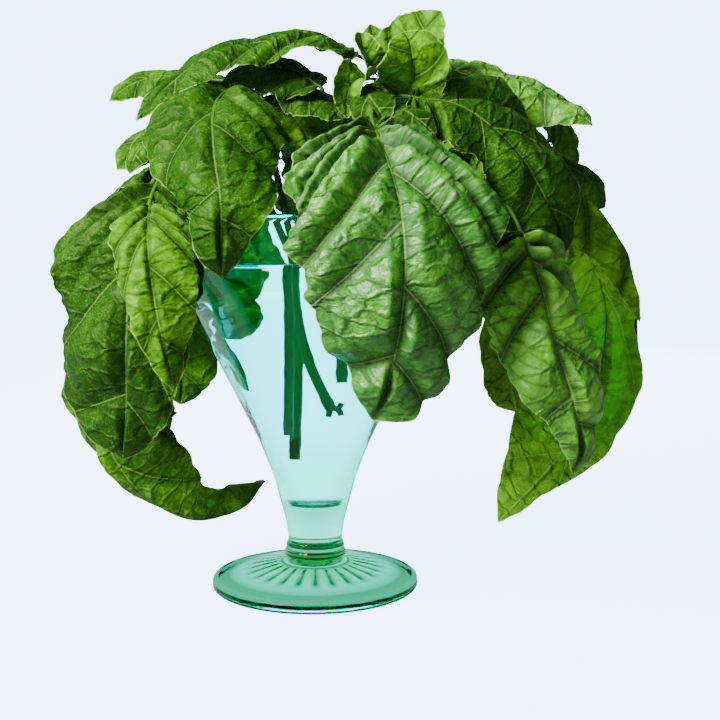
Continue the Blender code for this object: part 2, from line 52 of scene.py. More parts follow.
MM = 0.001
VASE_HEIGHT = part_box("vase")[1].z / MM
RIM_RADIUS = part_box("vase")[1].x / MM
WATER_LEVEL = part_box("water")[1].z / MM
WALL = 2.6
FLUTES = 24
FLUTE_DEPTH = 0.3
FLUTE_START = 13.8
FLUTE_END = 30.5
RAY_START = 13.5
RAY_END = 35.0
FOOT_TOP = 10.4
COLLAR_TOP = 19.5
VASE_SEGMENTS = 12 * FLUTES
CAVITY = ((0.0, 33.6), (3.0, 33.6), (6.6, 33.8), (8.4, 34.8), (9.2, 37.5), (10.6, 43.5), (13.4, 50.5),
          (17.4, 58.0), (24.4, 70.6), (44.5, 110.5))


def smooth_line(route, steps):
    """Evenly spaced points along a smooth curve through a route's points."""
    points = np.array(route, float)
    padded = np.vstack([2 * points[0] - points[1], points, 2 * points[-1] - points[-2]])
    f = np.linspace(0.0, 1.0, 20, endpoint=False)[:, None]
    pieces = []
    for k in range(len(points) - 1):
        a, b, c, d = padded[k:k + 4]
        bend = (2 * a - 5 * b + 4 * c - d) * f ** 2 + (3 * b - a - 3 * c + d) * f ** 3
        pieces.append(b + 0.5 * ((c - a) * f + bend))
    dense = np.vstack(pieces + [points[-1:]])
    run = np.concatenate([[0.0], np.cumsum(np.linalg.norm(np.diff(dense, axis=0), axis=1))])
    even = np.linspace(0.0, run[-1], steps + 1)
    return np.stack([np.interp(even, run, column) for column in dense.T], axis=-1)


def put_in_scene(name, data):
    item = bpy.data.objects.new(name, data)
    bpy.context.scene.collection.objects.link(item)
    return item


def add_piece(name, points, faces, materials, node_name, material_of_face=None, marks=()):
    """A smooth-shaded piece of the object that stands for a node of the CAD model or for a part of it."""
    mesh = bpy.data.meshes.new(name)
    mesh.from_pydata((np.asarray(points) * MM).tolist(), [], faces)
    for material in materials:
        mesh.materials.append(material)
    if material_of_face is not None:
        mesh.polygons.foreach_set("material_index", material_of_face)
    for mark_name, values in dict(marks).items():
        layer = mesh.attributes.new(mark_name, "FLOAT_VECTOR", "POINT")
        layer.data.foreach_set("vector", np.asarray(values, np.float32).ravel())
    mesh.shade_smooth()
    item = put_in_scene(name, mesh)
    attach(item, "root")
    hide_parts(node_name)


def closed_skin(start, rings, end):
    """Points and faces of a closed shape: a first point, rings of points and a last point."""
    count, sides = rings.shape[:2]
    points = np.vstack([[start], rings.reshape(-1, 3), [end]])
    last_ring = 1 + (count - 1) * sides
    faces = []
    for side in range(sides):
        after = (side + 1) % sides
        faces.append((0, 1 + after, 1 + side))
        for ring in range(1, last_ring, sides):
            faces.append((ring + side, ring + after, ring + sides + after, ring + sides + side))
        faces.append((last_ring + side, last_ring + after, len(points) - 1))
    return points, faces


def turned(profile, segments, lift=None):
    """A closed shape turned round Z, from its lower axis point to its upper one."""
    profile = np.asarray(profile, float)
    angle = 2 * math.pi * np.arange(segments) / segments
    radius, height = profile[1:-1, :1], profile[1:-1, 1:]
    level = height + (lift(radius, height, angle) if lift else 0.0 * angle)
    rings = np.stack([radius * np.cos(angle), radius * np.sin(angle), level], axis=-1)
    return closed_skin((0, 0, profile[0, 1]), rings, (0, 0, profile[-1, 1]))


def node(tree, kind, values=None, **settings):
    """A shader node with its settings, its input values and its links."""
    made = tree.nodes.new("ShaderNode" + kind)
    for name, value in settings.items():
        setattr(made, name, value)
    for key, value in (values or {}).items():
        if isinstance(value, bpy.types.NodeSocket):
            tree.links.new(value, made.inputs[key])
        else:
            made.inputs[key].default_value = value
    return made


def new_material(name):
    material = bpy.data.materials.new(name)
    material.use_nodes = True
    tree = material.node_tree
    tree.nodes.clear()
    return material, tree


def maths(tree, operation, first, second=0.0):
    return node(tree, "Math", {0: first, 1: second}, operation=operation).outputs[0]


def noise(tree, place, scale, detail=2.0):
    """Soft random values from 0 to 1 over a place."""
    return node(tree, "TexNoise", {"Vector": place, "Scale": scale, "Detail": detail}).outputs["Fac"]


def sums(tree):
    """Four functions that multiply, subtract, add and take the larger of two values of a tree."""
    return [partial(maths, tree, operation) for operation in ("MULTIPLY", "SUBTRACT", "ADD", "MAXIMUM")]


def blend(tree, factor, first, second):
    """The first colour at 0 and the second one at 1."""
    return node(tree, "Mix", {0: factor, 6: first, 7: second}, data_type="RGBA").outputs[2]


def see_through_material(name, bending, colour, density, tint, ripple_scale, ripple_height):
    """Clear stuff with a colour that grows with its thickness, whose shadows are light."""
    material, tree = new_material(name)
    place = node(tree, "TexCoord").outputs["Object"]
    bump = node(tree, "Bump", {"Height": noise(tree, place, ripple_scale), "Distance": ripple_height})
    shader = node(tree, "BsdfPrincipled", {
        "Base Color": tint(tree) if tint else (1, 1, 1, 1), "Roughness": 0.0, "Metallic": 0.0,
        "IOR": bending(tree) if callable(bending) else bending, "Transmission Weight": 1.0,
        "Specular Tint": (0.2, 0.25, 0.04, 1), "Normal": bump.outputs["Normal"]})
    clear = node(tree, "BsdfTransparent", {"Color": SHADOW_COLOUR})
    is_shadow = node(tree, "LightPath").outputs["Is Shadow Ray"]
    mix = node(tree, "MixShader", {0: is_shadow, 1: shader.outputs[0], 2: clear.outputs[0]})
    thickness = node(tree, "VolumeAbsorption", {"Color": colour, "Density": density})
    node(tree, "OutputMaterial", {"Surface": mix.outputs[0], "Volume": thickness.outputs[0]})
    return material


def vase_profile():
    """The vase's section from the middle of its underside, over the outside and down the inside."""
    underside = [(0.0, 0.9), (20.0, 0.9), (34.0, 0.8), (38.0, 0.3), (39.4, 0.02)]
    rim_of_foot = smooth_line(((40.8, 0.1), (41.5, 0.8), (41.6, 2.2), (41.4, 3.5), (40.8, 4.2)), 14)
    fan = smooth_line(((39.8, 4.5), (30.5, 5.9), (21.0, 8.1), (15.0, 9.5), (13.2, 9.9)), 70)
    collar = smooth_line(((11.9, 10.3), (12.2, 11.5), (12.4, 13.2), (12.15, 14.8), (11.7, 15.6),
                          (11.8, 16.5), (11.5, 17.8), (10.95, 18.6)), 34)
    bowl = smooth_line(((10.85, 19.6), (11.6, 25.0), (12.7, 30.0), (13.9, 34.4), (15.2, 39.4), (16.5, 44.3),
                        (18.3, 49.2), (22.2, 58.9), (24.1, 63.0), (36.3, 87.4), (48.6, 112.0),
                        (RIM_RADIUS, VASE_HEIGHT - 1.4)), 76)
    rim = [(RIM_RADIUS - 0.25, VASE_HEIGHT - 0.5), (RIM_RADIUS - 0.9, VASE_HEIGHT),
           (RIM_RADIUS - WALL + 0.7, VASE_HEIGHT), (RIM_RADIUS - WALL, VASE_HEIGHT - 0.6)]
    inside = smooth_line(CAVITY + ((RIM_RADIUS - WALL - 0.4, VASE_HEIGHT - 1.6),), 70)[::-1]
    return np.vstack([underside, rim_of_foot, fan, collar, bowl, rim, inside])


def groove(radius, angle):
    """1 in the grooves of the foot's fan, which widen outwards, 0 on the rays and outside the fan."""
    across = np.abs(((FLUTES * angle / (2 * math.pi)) % 1.0) - 0.5) * 2
    reach = np.clip((radius - FLUTE_START) / 2.0, 0, 1) * np.clip((FLUTE_END - radius) / 5.0, 0, 1)
    edge = 0.55 - 0.35 * np.clip((radius - FLUTE_START) / (FLUTE_END - FLUTE_START), 0, 1)
    return np.clip((across - edge) / 0.5, 0, 1) * reach


def fan_relief(radius, height, angle):
    on_top = (height > 4.4) & (height < FOOT_TOP - 0.6)
    return -FLUTE_DEPTH * groove(radius, angle) * on_top


def mark(tree, name):
    """The three values that a mesh holds under a name."""
    values = node(tree, "Attribute", attribute_name=name).outputs["Vector"]
    return node(tree, "SeparateXYZ", {0: values}).outputs


def glass_tint_with_painted_light_and_shade(tree):
    """Green of the glass with light and shade painted in: deeper green with painted shade in the collar and
    the foot, darkest in the grooves of its fan, painted light on the fan's paler rays, and a painted dark
    line round the bottom of the cavity.
    """
    foot, fan = mark(tree, "foot"), mark(tree, "fan")
    fan_light_and_shade = blend(tree, fan[1], blend(tree, fan[0], FOOT_GREEN_AND_PAINTED_SHADE, RAY_PAINTED_LIGHT), GROOVE_PAINTED_SHADE)
    tint = blend(tree, foot[1], blend(tree, foot[0], NECK_TINT, COLLAR_GREEN_AND_PAINTED_SHADE), fan_light_and_shade)
    return blend(tree, foot[2], tint, CAVITY_EDGE_PAINTED_SHADE)


def glass_bending(tree):
    """Index of refraction; less in the foot, so that its rays are seen and not only its mirror images."""
    drop = maths(tree, "MULTIPLY", mark(tree, "fan")[2], FOOT_INDEX_DROP)
    return maths(tree, "SUBTRACT", GLASS_INDEX, drop)


def band(values, start, end, soft=0.5):
    """1 between start and end, 0 outside them."""
    return np.clip((values - start) / soft, 0, 1) * np.clip((end - values) / soft, 0, 1)


GLASS_COLOUR = (0.0, 0.915, 0.845, 1)
GLASS_DENSITY = 500.0
GLASS_INDEX = 1.5
FOOT_INDEX_DROP = 0.43
SHADOW_COLOUR = (0.86, 0.97, 0.94, 1)
# The tints paint light and shade into the glass: the neck's is its own pale green; the collar's and the
# foot's are deeper green with painted shade; the grooves' and the cavity edge's are painted shade; the
# rays' is painted light.
NECK_TINT = (0.3, 1.0, 0.92, 1)
COLLAR_GREEN_AND_PAINTED_SHADE = (0.0, 0.42, 0.30, 1)
FOOT_GREEN_AND_PAINTED_SHADE = (0.0, 0.030, 0.006, 1)
RAY_PAINTED_LIGHT = (0.01, 0.38, 0.17, 1)
GROOVE_PAINTED_SHADE = (0.0, 0.014, 0.002, 1)
CAVITY_EDGE_PAINTED_SHADE = (0.0, 0.03, 0.015, 1)
glass = see_through_material("pressed green glass", glass_bending, GLASS_COLOUR, GLASS_DENSITY, glass_tint_with_painted_light_and_shade,
                             45.0, 0.00025)
section = vase_profile()
vase_outside = section[:np.argmax(section[:, 1]) + 1]
vase_outside = vase_outside[vase_outside[:, 1] > COLLAR_TOP - 0.5]
points, faces = turned(section, VASE_SEGMENTS, fan_relief)
radius = np.hypot(points[:, 0], points[:, 1])
height = points[:, 2]
# Masks for the painted light and shade in the glass: collar, fan, a dark line round the bottom of the
# cavity, pale rays and dark grooves.
collar_part = band(height, FOOT_TOP - 0.5, COLLAR_TOP)
fan_part = band(height, 1.4, FOOT_TOP)
cavity_edge = band(height, 33.5, 36.0, 0.2) * band(radius, 5.5, 9.2)
rays = np.clip((radius - RAY_START) / 1.5, 0, 1) * np.clip((RAY_END - radius) / 13.0, 0, 1)
grooves = groove(radius, np.arctan2(points[:, 1], points[:, 0]))
thin_part = np.clip((FOOT_TOP - height) / 0.5, 0, 1) * (1 - 0.25 * np.clip((radius - 39.2) / 0.6, 0, 1))
add_piece("footed_glass_vase", points, faces, [glass], "vase",
          marks={"foot": np.stack([collar_part, fan_part, cavity_edge], axis=-1),
                 "fan": np.stack([rays, grooves, thin_part], axis=-1)})

# ---- the water -----------------------------------------------------------------------
# Tap water up to some 18 mm under the rim. It wets the glass and climbs a little at the
# wall and round each stem. It reaches a hair into the glass, so that no air shows between.

WETTING = 0.08
CLIMB = 0.4
STEM_RADIUS = 1.7
STEM_ROUTES = {
    "crown": ((8, 5, 88), (8, 3, 130), (12, -4, 160), (22, -12, 184), (31, -18, 201)),
    "right": ((-6, 1, 54), (-5, 4, 95), (-6, 5.5, 131), (-7.5, 8, 142), (0, 11, 157), (16, 12, 171),
              (40, 12, 183), (72, 10, 185), (90, 4, 170), (95, -2, 150)),
    "left": ((-8.5, -6, 65), (-8, -7, 98), (-8.5, -7.5, 130), (-13, -10, 142), (-19, -14, 155),
             (-31, -20, 168), (-47, -28, 171), (-56, -33, 161)),
    "middle": ((5, 2, 76), (-2, 1, 98), (-5.5, -0.5, 118), (-6.5, -1, 131), (-10, 1, 143), (-14, 4, 162),
               (-19, 3, 182), (-22, 0, 197)),
}
STEM_STEPS = 90
stem_lines = {name: smooth_line(route, STEM_STEPS) for name, route in STEM_ROUTES.items()}


def water_surface(radius, height, angle):
    """How far the surface climbs at the wall and at the stems."""
    on_top = height > WATER_LEVEL - 0.001
    x, y = radius * np.cos(angle), radius * np.sin(angle)
    rise = np.exp(-(wall_at_water - radius) / 1.1)
    for line in stem_lines.values():
        crossing = line[np.argmin(np.abs(line[:, 2] - WATER_LEVEL))]
        gap = np.maximum(np.hypot(x - crossing[0], y - crossing[1]) - STEM_RADIUS, 0.0)
        rise = rise + 0.6 * np.exp(-gap / 1.0)
    return CLIMB * np.minimum(rise, 1.0) * on_top


slope = (CAVITY[-1][0] - CAVITY[-2][0]) / (CAVITY[-1][1] - CAVITY[-2][1])
wall_at_water = CAVITY[-1][0] + slope * (WATER_LEVEL - CAVITY[-1][1]) + WETTING
shell = smooth_line(CAVITY + ((wall_at_water - WETTING, WATER_LEVEL),), 60)
shell[:, 0] += WETTING
shell[0] = (0.0, CAVITY[0][1] - WETTING)
shell[-1, 1] += CLIMB
shell[-1, 0] += slope * CLIMB
surface_radii = wall_at_water * (1 - np.linspace(0.0, 1.0, 90)[1:-1] ** 1.6)
surface = [(radius, WATER_LEVEL) for radius in surface_radii] + [(0.0, WATER_LEVEL)]
water = see_through_material("water", 1.333, (0.55, 0.95, 0.90, 1), 1.5, None, 20.0, 0.00002)
points, faces = turned(np.vstack([shell, surface]), 144, water_surface)
add_piece("water_in_vase", points, faces, [water], "water")

# ---- the crown stem ------------------------------------------------------------------
# The stem that ends in the tall tuft of young leaves. Basil stems are squarish, with a
# groove down each side, a thicker joint where two leaves grow and a pale, wet cut end.

PETIOLE_RADIUS = 1.1
JOINT_SPACING = 14


def unit(vectors):
    return vectors / np.maximum(np.linalg.norm(vectors, axis=-1, keepdims=True), 1e-9)


def tube(line, radii, sides, square=0.0):
    """A closed tube along a line; square presses its section to a grooved square."""
    along = unit(np.gradient(line, axis=0))
    first = np.cross(along[0], (0.3, 1.0, 0.2))
    angle = 2 * math.pi * np.arange(sides)[:, None] / sides
    rings = []
    for k, centre in enumerate(line):
        first = unit(first - along[k] * np.dot(first, along[k]))
        second = np.cross(along[k], first)
        radius = radii[k] * (1.0 - square * np.cos(4 * angle) + 0.3 * square * np.cos(8 * angle))
        rings.append(centre + radius * (first * np.cos(angle) + second * np.sin(angle)))
    return closed_skin(line[0], np.array(rings), line[-1])


def stalk_line(leaf, stem_line):
    """From inside the stem into the base of the blade and on under its midrib."""
    place = leaf.at * (len(stem_line) - 1)
    k = min(int(place), len(stem_line) - 2)
    root = stem_line[k] + (stem_line[k + 1] - stem_line[k]) * (place - k)
    stem_way = unit(stem_line[k + 1] - stem_line[k])
    base, way = leaf.line[0], leaf.along[0]
    reach = np.linalg.norm(base - root)
    first = root + stem_way * reach * 0.3
    second = base - way * reach * 0.35
    f = np.linspace(0.0, 1.0, 22)[:, None]
    line = (1 - f) ** 3 * root + 3 * (1 - f) ** 2 * f * first
    line = line + 3 * (1 - f) * f ** 2 * second + f ** 3 * base
    under = len(leaf.line) * 6 // 10
    midrib = leaf.line[1:under] - leaf.up[1:under] * np.linspace(0.1, 0.55, under - 1)[:, None]
    radii = np.concatenate([np.linspace(1.0, 0.62, len(line)), np.linspace(0.60, 0.22, len(midrib))])
    return np.vstack([line, midrib]), radii


def add_leafy_stem(name, leaves, stubs=()):
    """A stem with its leaf stalks and the stubs of picked shoots as one piece, and then its blades."""
    line = stem_lines[name]
    taper = np.linspace(1.0, 0.75, len(line))
    joint = np.abs((np.arange(len(line)) + 4) % JOINT_SPACING - JOINT_SPACING / 2)
    taper = taper * (1 + 0.16 * np.exp(-(joint / 1.2) ** 2))
    parts = [tube(line, STEM_RADIUS * taper, 24, square=0.07)]
    for leaf in leaves:
        stalk, radii = stalk_line(leaf, line)
        thickness = PETIOLE_RADIUS * min(1.0, sum(leaf.width) / 40.0 + 0.3)
        parts.append(tube(stalk, thickness * radii, 12))
    for stub in stubs:
        stub_line = smooth_line(stub, 8)
        parts.append(tube(stub_line, np.linspace(1.15, 0.95, len(stub_line)), 14))
    points, faces = [], []
    for part_points, part_faces in parts:
        start = sum(len(p) for p in points)
        faces += [tuple(start + k for k in face) for face in part_faces]
        points.append(part_points)
    add_piece(name + "_stem_and_stalks", np.vstack(points), faces, [stem_skin], name + "_stem")
    for leaf in leaves:
        add_leaf(leaf, name + "_stem")


def stem_material():
    """Green stem skin with fine streaks along it, softly blotched, with a dull gloss."""
    material, tree = new_material("basil stem skin")
    place = node(tree, "TexCoord").outputs["Object"]
    streak = node(tree, "Mapping", {"Vector": place, "Scale": (900.0, 900.0, 60.0)})
    streaks = noise(tree, streak.outputs[0], 1.0, 3.0)
    both = maths(tree, "ADD", streaks, noise(tree, place, 70.0))
    ramp = node(tree, "ValToRGB", {"Fac": maths(tree, "MULTIPLY", both, 0.5)})
    ramp.color_ramp.elements[0].position = 0.36
    ramp.color_ramp.elements[0].color = (0.012, 0.046, 0.002, 1)
    ramp.color_ramp.elements[1].position = 0.64
    ramp.color_ramp.elements[1].color = (0.040, 0.105, 0.004, 1)
    bump = node(tree, "Bump", {"Height": streaks, "Distance": 0.0002, "Strength": 0.6})
    shader = node(tree, "BsdfPrincipled", {
        "Base Color": ramp.outputs["Color"], "Roughness": 0.45, "Metallic": 0.0, "Specular IOR Level": 0.12,
        "Normal": bump.outputs["Normal"]})
    node(tree, "OutputMaterial", {"Surface": shader.outputs[0]})
    return material


stem_skin = stem_material()

# Each leaf is one thin blade. Its side veins sink into the upper side and stand out
# below, the blade swells between them and between the fine cross veins, and its margin
# is toothed and ruffled. The blade is made on a grid of places t, from base to tip, and
# v, from one margin over the midrib (0) to the other.

BLADE = 0.42
CLEARANCE = 0.7
VEINS = 6
BEND_STEPS = 12
GRID = 0.9
CROSS_SPACING = 6.5


class Leaf:
    """A blade's midrib, halves and bends, in the same terms for every leaf of the bunch.

    at      how far up its stem the leaf stalk starts, 0 to 1
    midrib  points of the midrib from the base of the blade to its tip
    width   of the blade's two halves; a front leaf that hangs has its first half on the left
    faces   the way the upper side looks, at two or three places from base to tip
    fold    degrees that the halves rise from the midrib: one number, one for each half, or
            for a half (at base, at tip)
    curl    degrees that the halves bend on their way to the margin, in the same terms
    lip     degrees that the outermost part of each half turns up
    full    0 for a half that narrows to the tip, 1 for one that stays broad
    wave    height of the waves of the margin
    pucker  height of the swellings between the side veins
    veins   number of side veins on each half
    slant   2 for side veins that spread wide, 4 for ones that run towards the tip
    tone    0 for an old dark leaf, 1 for a young yellow-green one
    waxy    for a leaf whose upper side has kept its bloom of wax and shines
    """

    def __init__(self, name, at, midrib, width, faces, fold=-6, curl=-20, lip=0, full=0.6, wave=3.6,
                 pucker=3.0, veins=VEINS, slant=3.4, seed=1, tone=0.5, waxy=False):
        self.name, self.at, self.tone = name, at, tone
        self.skin = waxy_skin if waxy else soft_skin
        self.line = smooth_line(midrib, 48)
        self.length = float(np.sum(np.linalg.norm(np.diff(self.line, axis=0), axis=1)))
        self.along = unit(np.gradient(self.line, axis=0))
        ways = unit(np.array(faces, float))
        places = np.linspace(0.0, 1.0, len(self.line))
        posts = np.linspace(0.0, 1.0, len(ways))
        hint = np.stack([np.interp(places, posts, ways[:, axis]) for axis in range(3)], axis=-1)
        self.up = unit(hint - self.along * np.sum(hint * self.along, axis=1, keepdims=True))
        self.side = np.cross(self.along, self.up)
        self.width, self.fold, self.curl, self.lip, self.full = width, fold, curl, lip, full
        self.wave, self.pucker, self.veins, self.slant = wave, pucker, veins, slant
        self.shift = np.random.default_rng(seed).uniform(0.0, 2 * math.pi, 8)
        self.lattice = np.random.default_rng(seed + 1000).uniform(-1.0, 1.0, (64, 64))

    def pair(self, values, second_half, u):
        """The value of each point's half, which may change from base to tip. One number is for both."""
        halves = values if isinstance(values, tuple) else (values, values)
        ends = [value if isinstance(value, tuple) else (value, value) for value in halves]
        first, second = (start + (end - start) * u for start, end in ends)
        return np.where(second_half, second, first)

    def blotches(self, x, y, size):
        """Soft random bumps of about a size, from -1 to 1."""
        gx, gy = x / size + 7.0, y / size + 31.0
        i, j = np.floor(gx).astype(int), np.floor(gy).astype(int)
        f, g = gx - i, gy - j
        f, g = f * f * (3 - 2 * f), g * g * (3 - 2 * g)
        i, j, i2, j2 = i % 64, j % 64, (i + 1) % 64, (j + 1) % 64
        low = self.lattice[i, j] * (1 - f) + self.lattice[i2, j] * f
        high = self.lattice[i, j2] * (1 - f) + self.lattice[i2, j2] * f
        return low * (1 - g) + high * g

    def outline(self, t, v):
        """Flat blade: distance along the midrib and out from it, for grid places t and v."""
        second_half = v < 0
        full = self.pair(self.full, second_half, 0.0 * t)
        half = self.pair(self.width, second_half, 0.0 * t)
        r = np.abs(v)
        near, far, end = 3 * (1 - t) ** 2 * t, 3 * (1 - t) * t ** 2, t ** 3
        margin_x = self.length * (-0.08 * near + (0.62 + 0.2 * full) * far + end)
        margin_y = half * (1.5 * near + (0.9 + 0.45 * full) * far)
        sign = np.where(second_half, -1.0, 1.0)
        lobe = 0.045 * np.sin(3.2 * math.pi * t + self.shift[0] + sign)
        lobe = lobe + 0.04 * np.sin(6.6 * math.pi * t + self.shift[1] - 2 * sign)
        scallop = 0.055 * (1 - 1.6 * np.abs(np.cos(math.pi * self.veins * t)))
        beat = 3.0 * self.veins * t + 0.5 * np.sin(9.0 * t + self.shift[6] + sign)
        tooth = 1.1 * np.abs(np.sin(math.pi * beat)) ** 0.6 - 0.6
        margin_y = margin_y * (1 + (lobe + scallop) * r ** 2) + tooth * np.sin(math.pi * t) ** 0.5 * r ** 8
        late = np.clip((t - 0.5) / 0.4, 0, 1)
        start = self.length * t ** (self.slant - 0.52 * self.slant * late ** 2 * (3 - 2 * late))
        x = (1 - r) ** 2 * start + 2 * r * (1 - r) * (start + 0.43 * (margin_x - start)) + r ** 2 * margin_x
        y = 2 * r * (1 - r) * 0.56 * margin_y + r ** 2 * margin_y
        return x, y, sign, half, np.hypot(margin_y, margin_x - start)

    def vein_count(self, t, sign):
        """A count that goes up by one at each side vein on the way to the tip."""
        uneven = 0.16 * np.sin(2.6 * self.veins * t + self.shift[2] + 2 * sign)
        return self.veins * t + (0.25 * sign + uneven) * np.sin(math.pi * t)

    def cross_veins(self, t, x, y, sign):
        """A count that goes up by one at each cross vein along a side vein."""
        count = self.vein_count(t, sign)
        bow = 0.35 * np.abs(np.sin(math.pi * count))
        drift = 0.5 * np.sin(0.11 * x + self.shift[7]) + 0.4 * np.sin(0.17 * y + self.shift[3] + sign)
        return (0.70 * x + 0.72 * y) / CROSS_SPACING - bow + drift + 0.37 * np.floor(count) + 10.0

    def relief(self, t, r, x, y, sign, half):
        """Height of the puckers between the veins and of the waves of the margin."""
        size = sum(self.width) / 70.0
        ends = np.sin(math.pi * t) ** 0.4
        beat = np.abs(np.cos(math.pi * self.vein_count(t, sign)))
        ridge = 0.55 * (1 - beat ** 1.8) + 0.45 * np.sqrt(np.maximum(1 - beat ** 2, 0.0))
        between = np.abs(np.sin(math.pi * self.vein_count(t, sign)))
        crease = 0.22 * np.exp(-((1 - between) / 0.06) ** 2) * np.clip(r / 0.3, 0, 1)
        ridge = np.maximum(ridge - crease, 0.0)
        strength = 1 + 0.3 * np.sin(2.1 * self.veins * t + self.shift[6] + 3 * sign)
        height = 1.9 * self.pucker * ridge * strength * np.clip(r / 0.16, 0, 1) * (1 - 0.45 * r ** 3)
        wave = np.sin(4.4 * math.pi * t + self.shift[2] + 2.1 * sign)
        wave = wave + 0.45 * np.sin(8.2 * math.pi * t + self.shift[3] - sign)
        height = height + self.wave * r ** 2.2 * wave
        swell = 1.6 * np.sin(x / 17.0 + self.shift[4]) * np.sin(y * sign / 15.0 + self.shift[5]) * r
        quilt = np.abs(np.sin(math.pi * self.cross_veins(t, x, y, sign))) ** 0.6 - 0.6
        fine = 1.5 * quilt * np.sqrt(ridge) * np.clip(r / 0.12, 0, 1) * (1 - 0.4 * r)
        bumps = 1.3 * self.blotches(x, y * sign, 8.0) + 0.4 * self.blotches(y * sign, x, 3.6)
        fine = fine + bumps * r ** 0.5
        ruffle = 1.0 * np.sin(math.pi * 2.6 * self.veins * t + 2 * np.sin(7 * t + self.shift[0]))
        fine = fine + ruffle * r ** 7
        return size * (ends * height + swell) + min(size, 1.0) * ends * fine

    def surface(self, t, v):
        """Middle of the blade, and what the material reads of each place."""
        x, y, sign, half, reach = self.outline(t, v)
        second_half = sign < 0
        u = np.clip(x / self.length, 0.0, 1.0)
        place = u * (len(self.line) - 1)
        k = np.minimum(place.astype(int), len(self.line) - 2)
        f = (place - k)[..., None]
        centre, along, up, side = (a[k] * (1 - f) + a[k + 1] * f
                                   for a in (self.line, self.along, self.up, self.side))
        centre = centre + unit(along) * (x - u * self.length)[..., None]
        fold, curl, lip = (np.radians(self.pair(values, second_half, u))
                           for values in (self.fold, self.curl, self.lip))

        def slope_at(q):
            """How steeply the blade rises, q of the way from the midrib to the margin."""
            return fold + curl * q + lip * np.clip((q - 0.68) / 0.3, 0, 1)

        out, rise = 0.0, 0.0
        for step in range(BEND_STEPS):
            slope = slope_at(y / half * (step + 0.5) / BEND_STEPS)
            out = out + np.cos(slope) * y / BEND_STEPS
            rise = rise + np.sin(slope) * y / BEND_STEPS
        slope = slope_at(y / half)
        r = np.abs(v)
        height = self.relief(t, r, x, y, sign, half)
        out = out - np.sin(slope) * height
        rise = rise + np.cos(slope) * height
        middle = centre + unit(side) * (sign * out)[..., None] + unit(up) * rise[..., None]
        count = self.vein_count(t, sign) + 2.0
        xt, yt, xr, yr = (np.gradient(values, axis=axis) for axis in (0, 1) for values in (x, y))
        step = np.abs(xt * yr - yt * xr) / np.maximum(np.hypot(xr, yr), 1e-6)
        spacing = np.clip(step / np.maximum(np.gradient(count, axis=0), 1e-3), 2.0, 30.0)
        lines = np.stack([count, spacing, (1 - r) * reach], axis=-1)
        veins = np.stack([t, self.cross_veins(t, x, y, sign), r], axis=-1)
        flat = np.stack([x * MM, y * sign * MM, 0 * x + self.tone], axis=-1)
        return self.clear_of_vase(middle), {"lines": lines, "veins": veins, "flat": flat}

    def clear_of_vase(self, points):
        """Places that would lie in the vase's wall, moved out to its outside."""
        radius = np.hypot(points[..., 0], points[..., 1])
        outside = np.interp(points[..., 2], vase_outside[:, 1], vase_outside[:, 0] + CLEARANCE, right=0.0)
        points[..., :2] *= (np.maximum(outside, radius) / np.maximum(radius, 1.0))[..., None]
        return points

    def grid(self):
        """Places t and v, closer together at the midrib and the margins."""
        rows = int(np.clip(self.length / self.veins / GRID * 1.1, 7, 20))
        t = np.linspace(0.0, 1.0, rows * self.veins + 1)
        columns = int(np.clip(max(self.width) / GRID, 8, 42))
        s = np.linspace(0.0, 1.0, columns + 1)
        half = s - 0.55 / (2 * math.pi) * np.sin(2 * math.pi * s)
        return np.meshgrid(t, np.concatenate([-half[:0:-1], half]), indexing="ij")


def add_leaf(leaf, node_name):
    """The blade as a closed thin sheet: upper side, underside and the margin between them."""
    t, v = leaf.grid()
    middle, data = leaf.surface(t, v)
    normal = unit(np.cross(np.gradient(middle, axis=1), np.gradient(middle, axis=0)))
    normal[0], normal[-1] = leaf.up[0], leaf.up[-1]
    r = np.abs(v)
    size = min(1.0, sum(leaf.width) / 50.0)
    count, spacing = data["lines"][..., 0], data["lines"][..., 1]
    from_vein = np.abs((count + 0.5) % 1.0 - 0.5) * spacing
    side_vein = np.exp(-(from_vein / 0.8) ** 2) * (1 - 0.8 * r) * (r > 0)
    midrib = np.exp(-(data["flat"][..., 1] / MM / 0.9) ** 2) * (1 - 0.7 * t)
    cord = size * np.maximum(side_vein, midrib) * np.sin(math.pi * np.clip(t, 0.02, 0.98)) ** 0.3
    half = BLADE / 2 * (1 - 0.45 * r ** 6)
    upper = middle + normal * (half - 0.34 * cord)[..., None]
    under = middle - normal * (half + 0.42 * cord)[..., None]
    rows, columns = t.shape
    index = np.arange(rows * columns).reshape(rows, columns)
    index[0], index[-1] = index[0, 0], index[-1, 0]
    lower_index = index + rows * columns
    a, b, c, d = index[:-1, :-1], index[1:, :-1], index[1:, 1:], index[:-1, 1:]
    top = np.stack([a, b, c, d], axis=-1).reshape(-1, 4)
    bottom = top[:, ::-1] + rows * columns
    first = np.stack([index[:-1, 0], lower_index[:-1, 0], lower_index[1:, 0], index[1:, 0]], axis=-1)
    second = np.stack([index[:-1, -1], index[1:, -1], lower_index[1:, -1], lower_index[:-1, -1]], axis=-1)
    quads = np.vstack([top, bottom, first, second])
    part = np.repeat([0, 1, 1, 1], [len(top), len(bottom), len(first), len(second)])
    points = np.vstack([upper.reshape(-1, 3), under.reshape(-1, 3)])
    used, quads = np.unique(quads, return_inverse=True)
    quads = quads.reshape(-1, 4)
    faces = [tuple(dict.fromkeys(quad)) for quad in quads.tolist()]
    marks = {name: np.vstack([values.reshape(-1, 3)] * 2)[used] for name, values in data.items()}
    add_piece(leaf.name, points[used], faces, [leaf.skin, under_skin], node_name, part, marks)


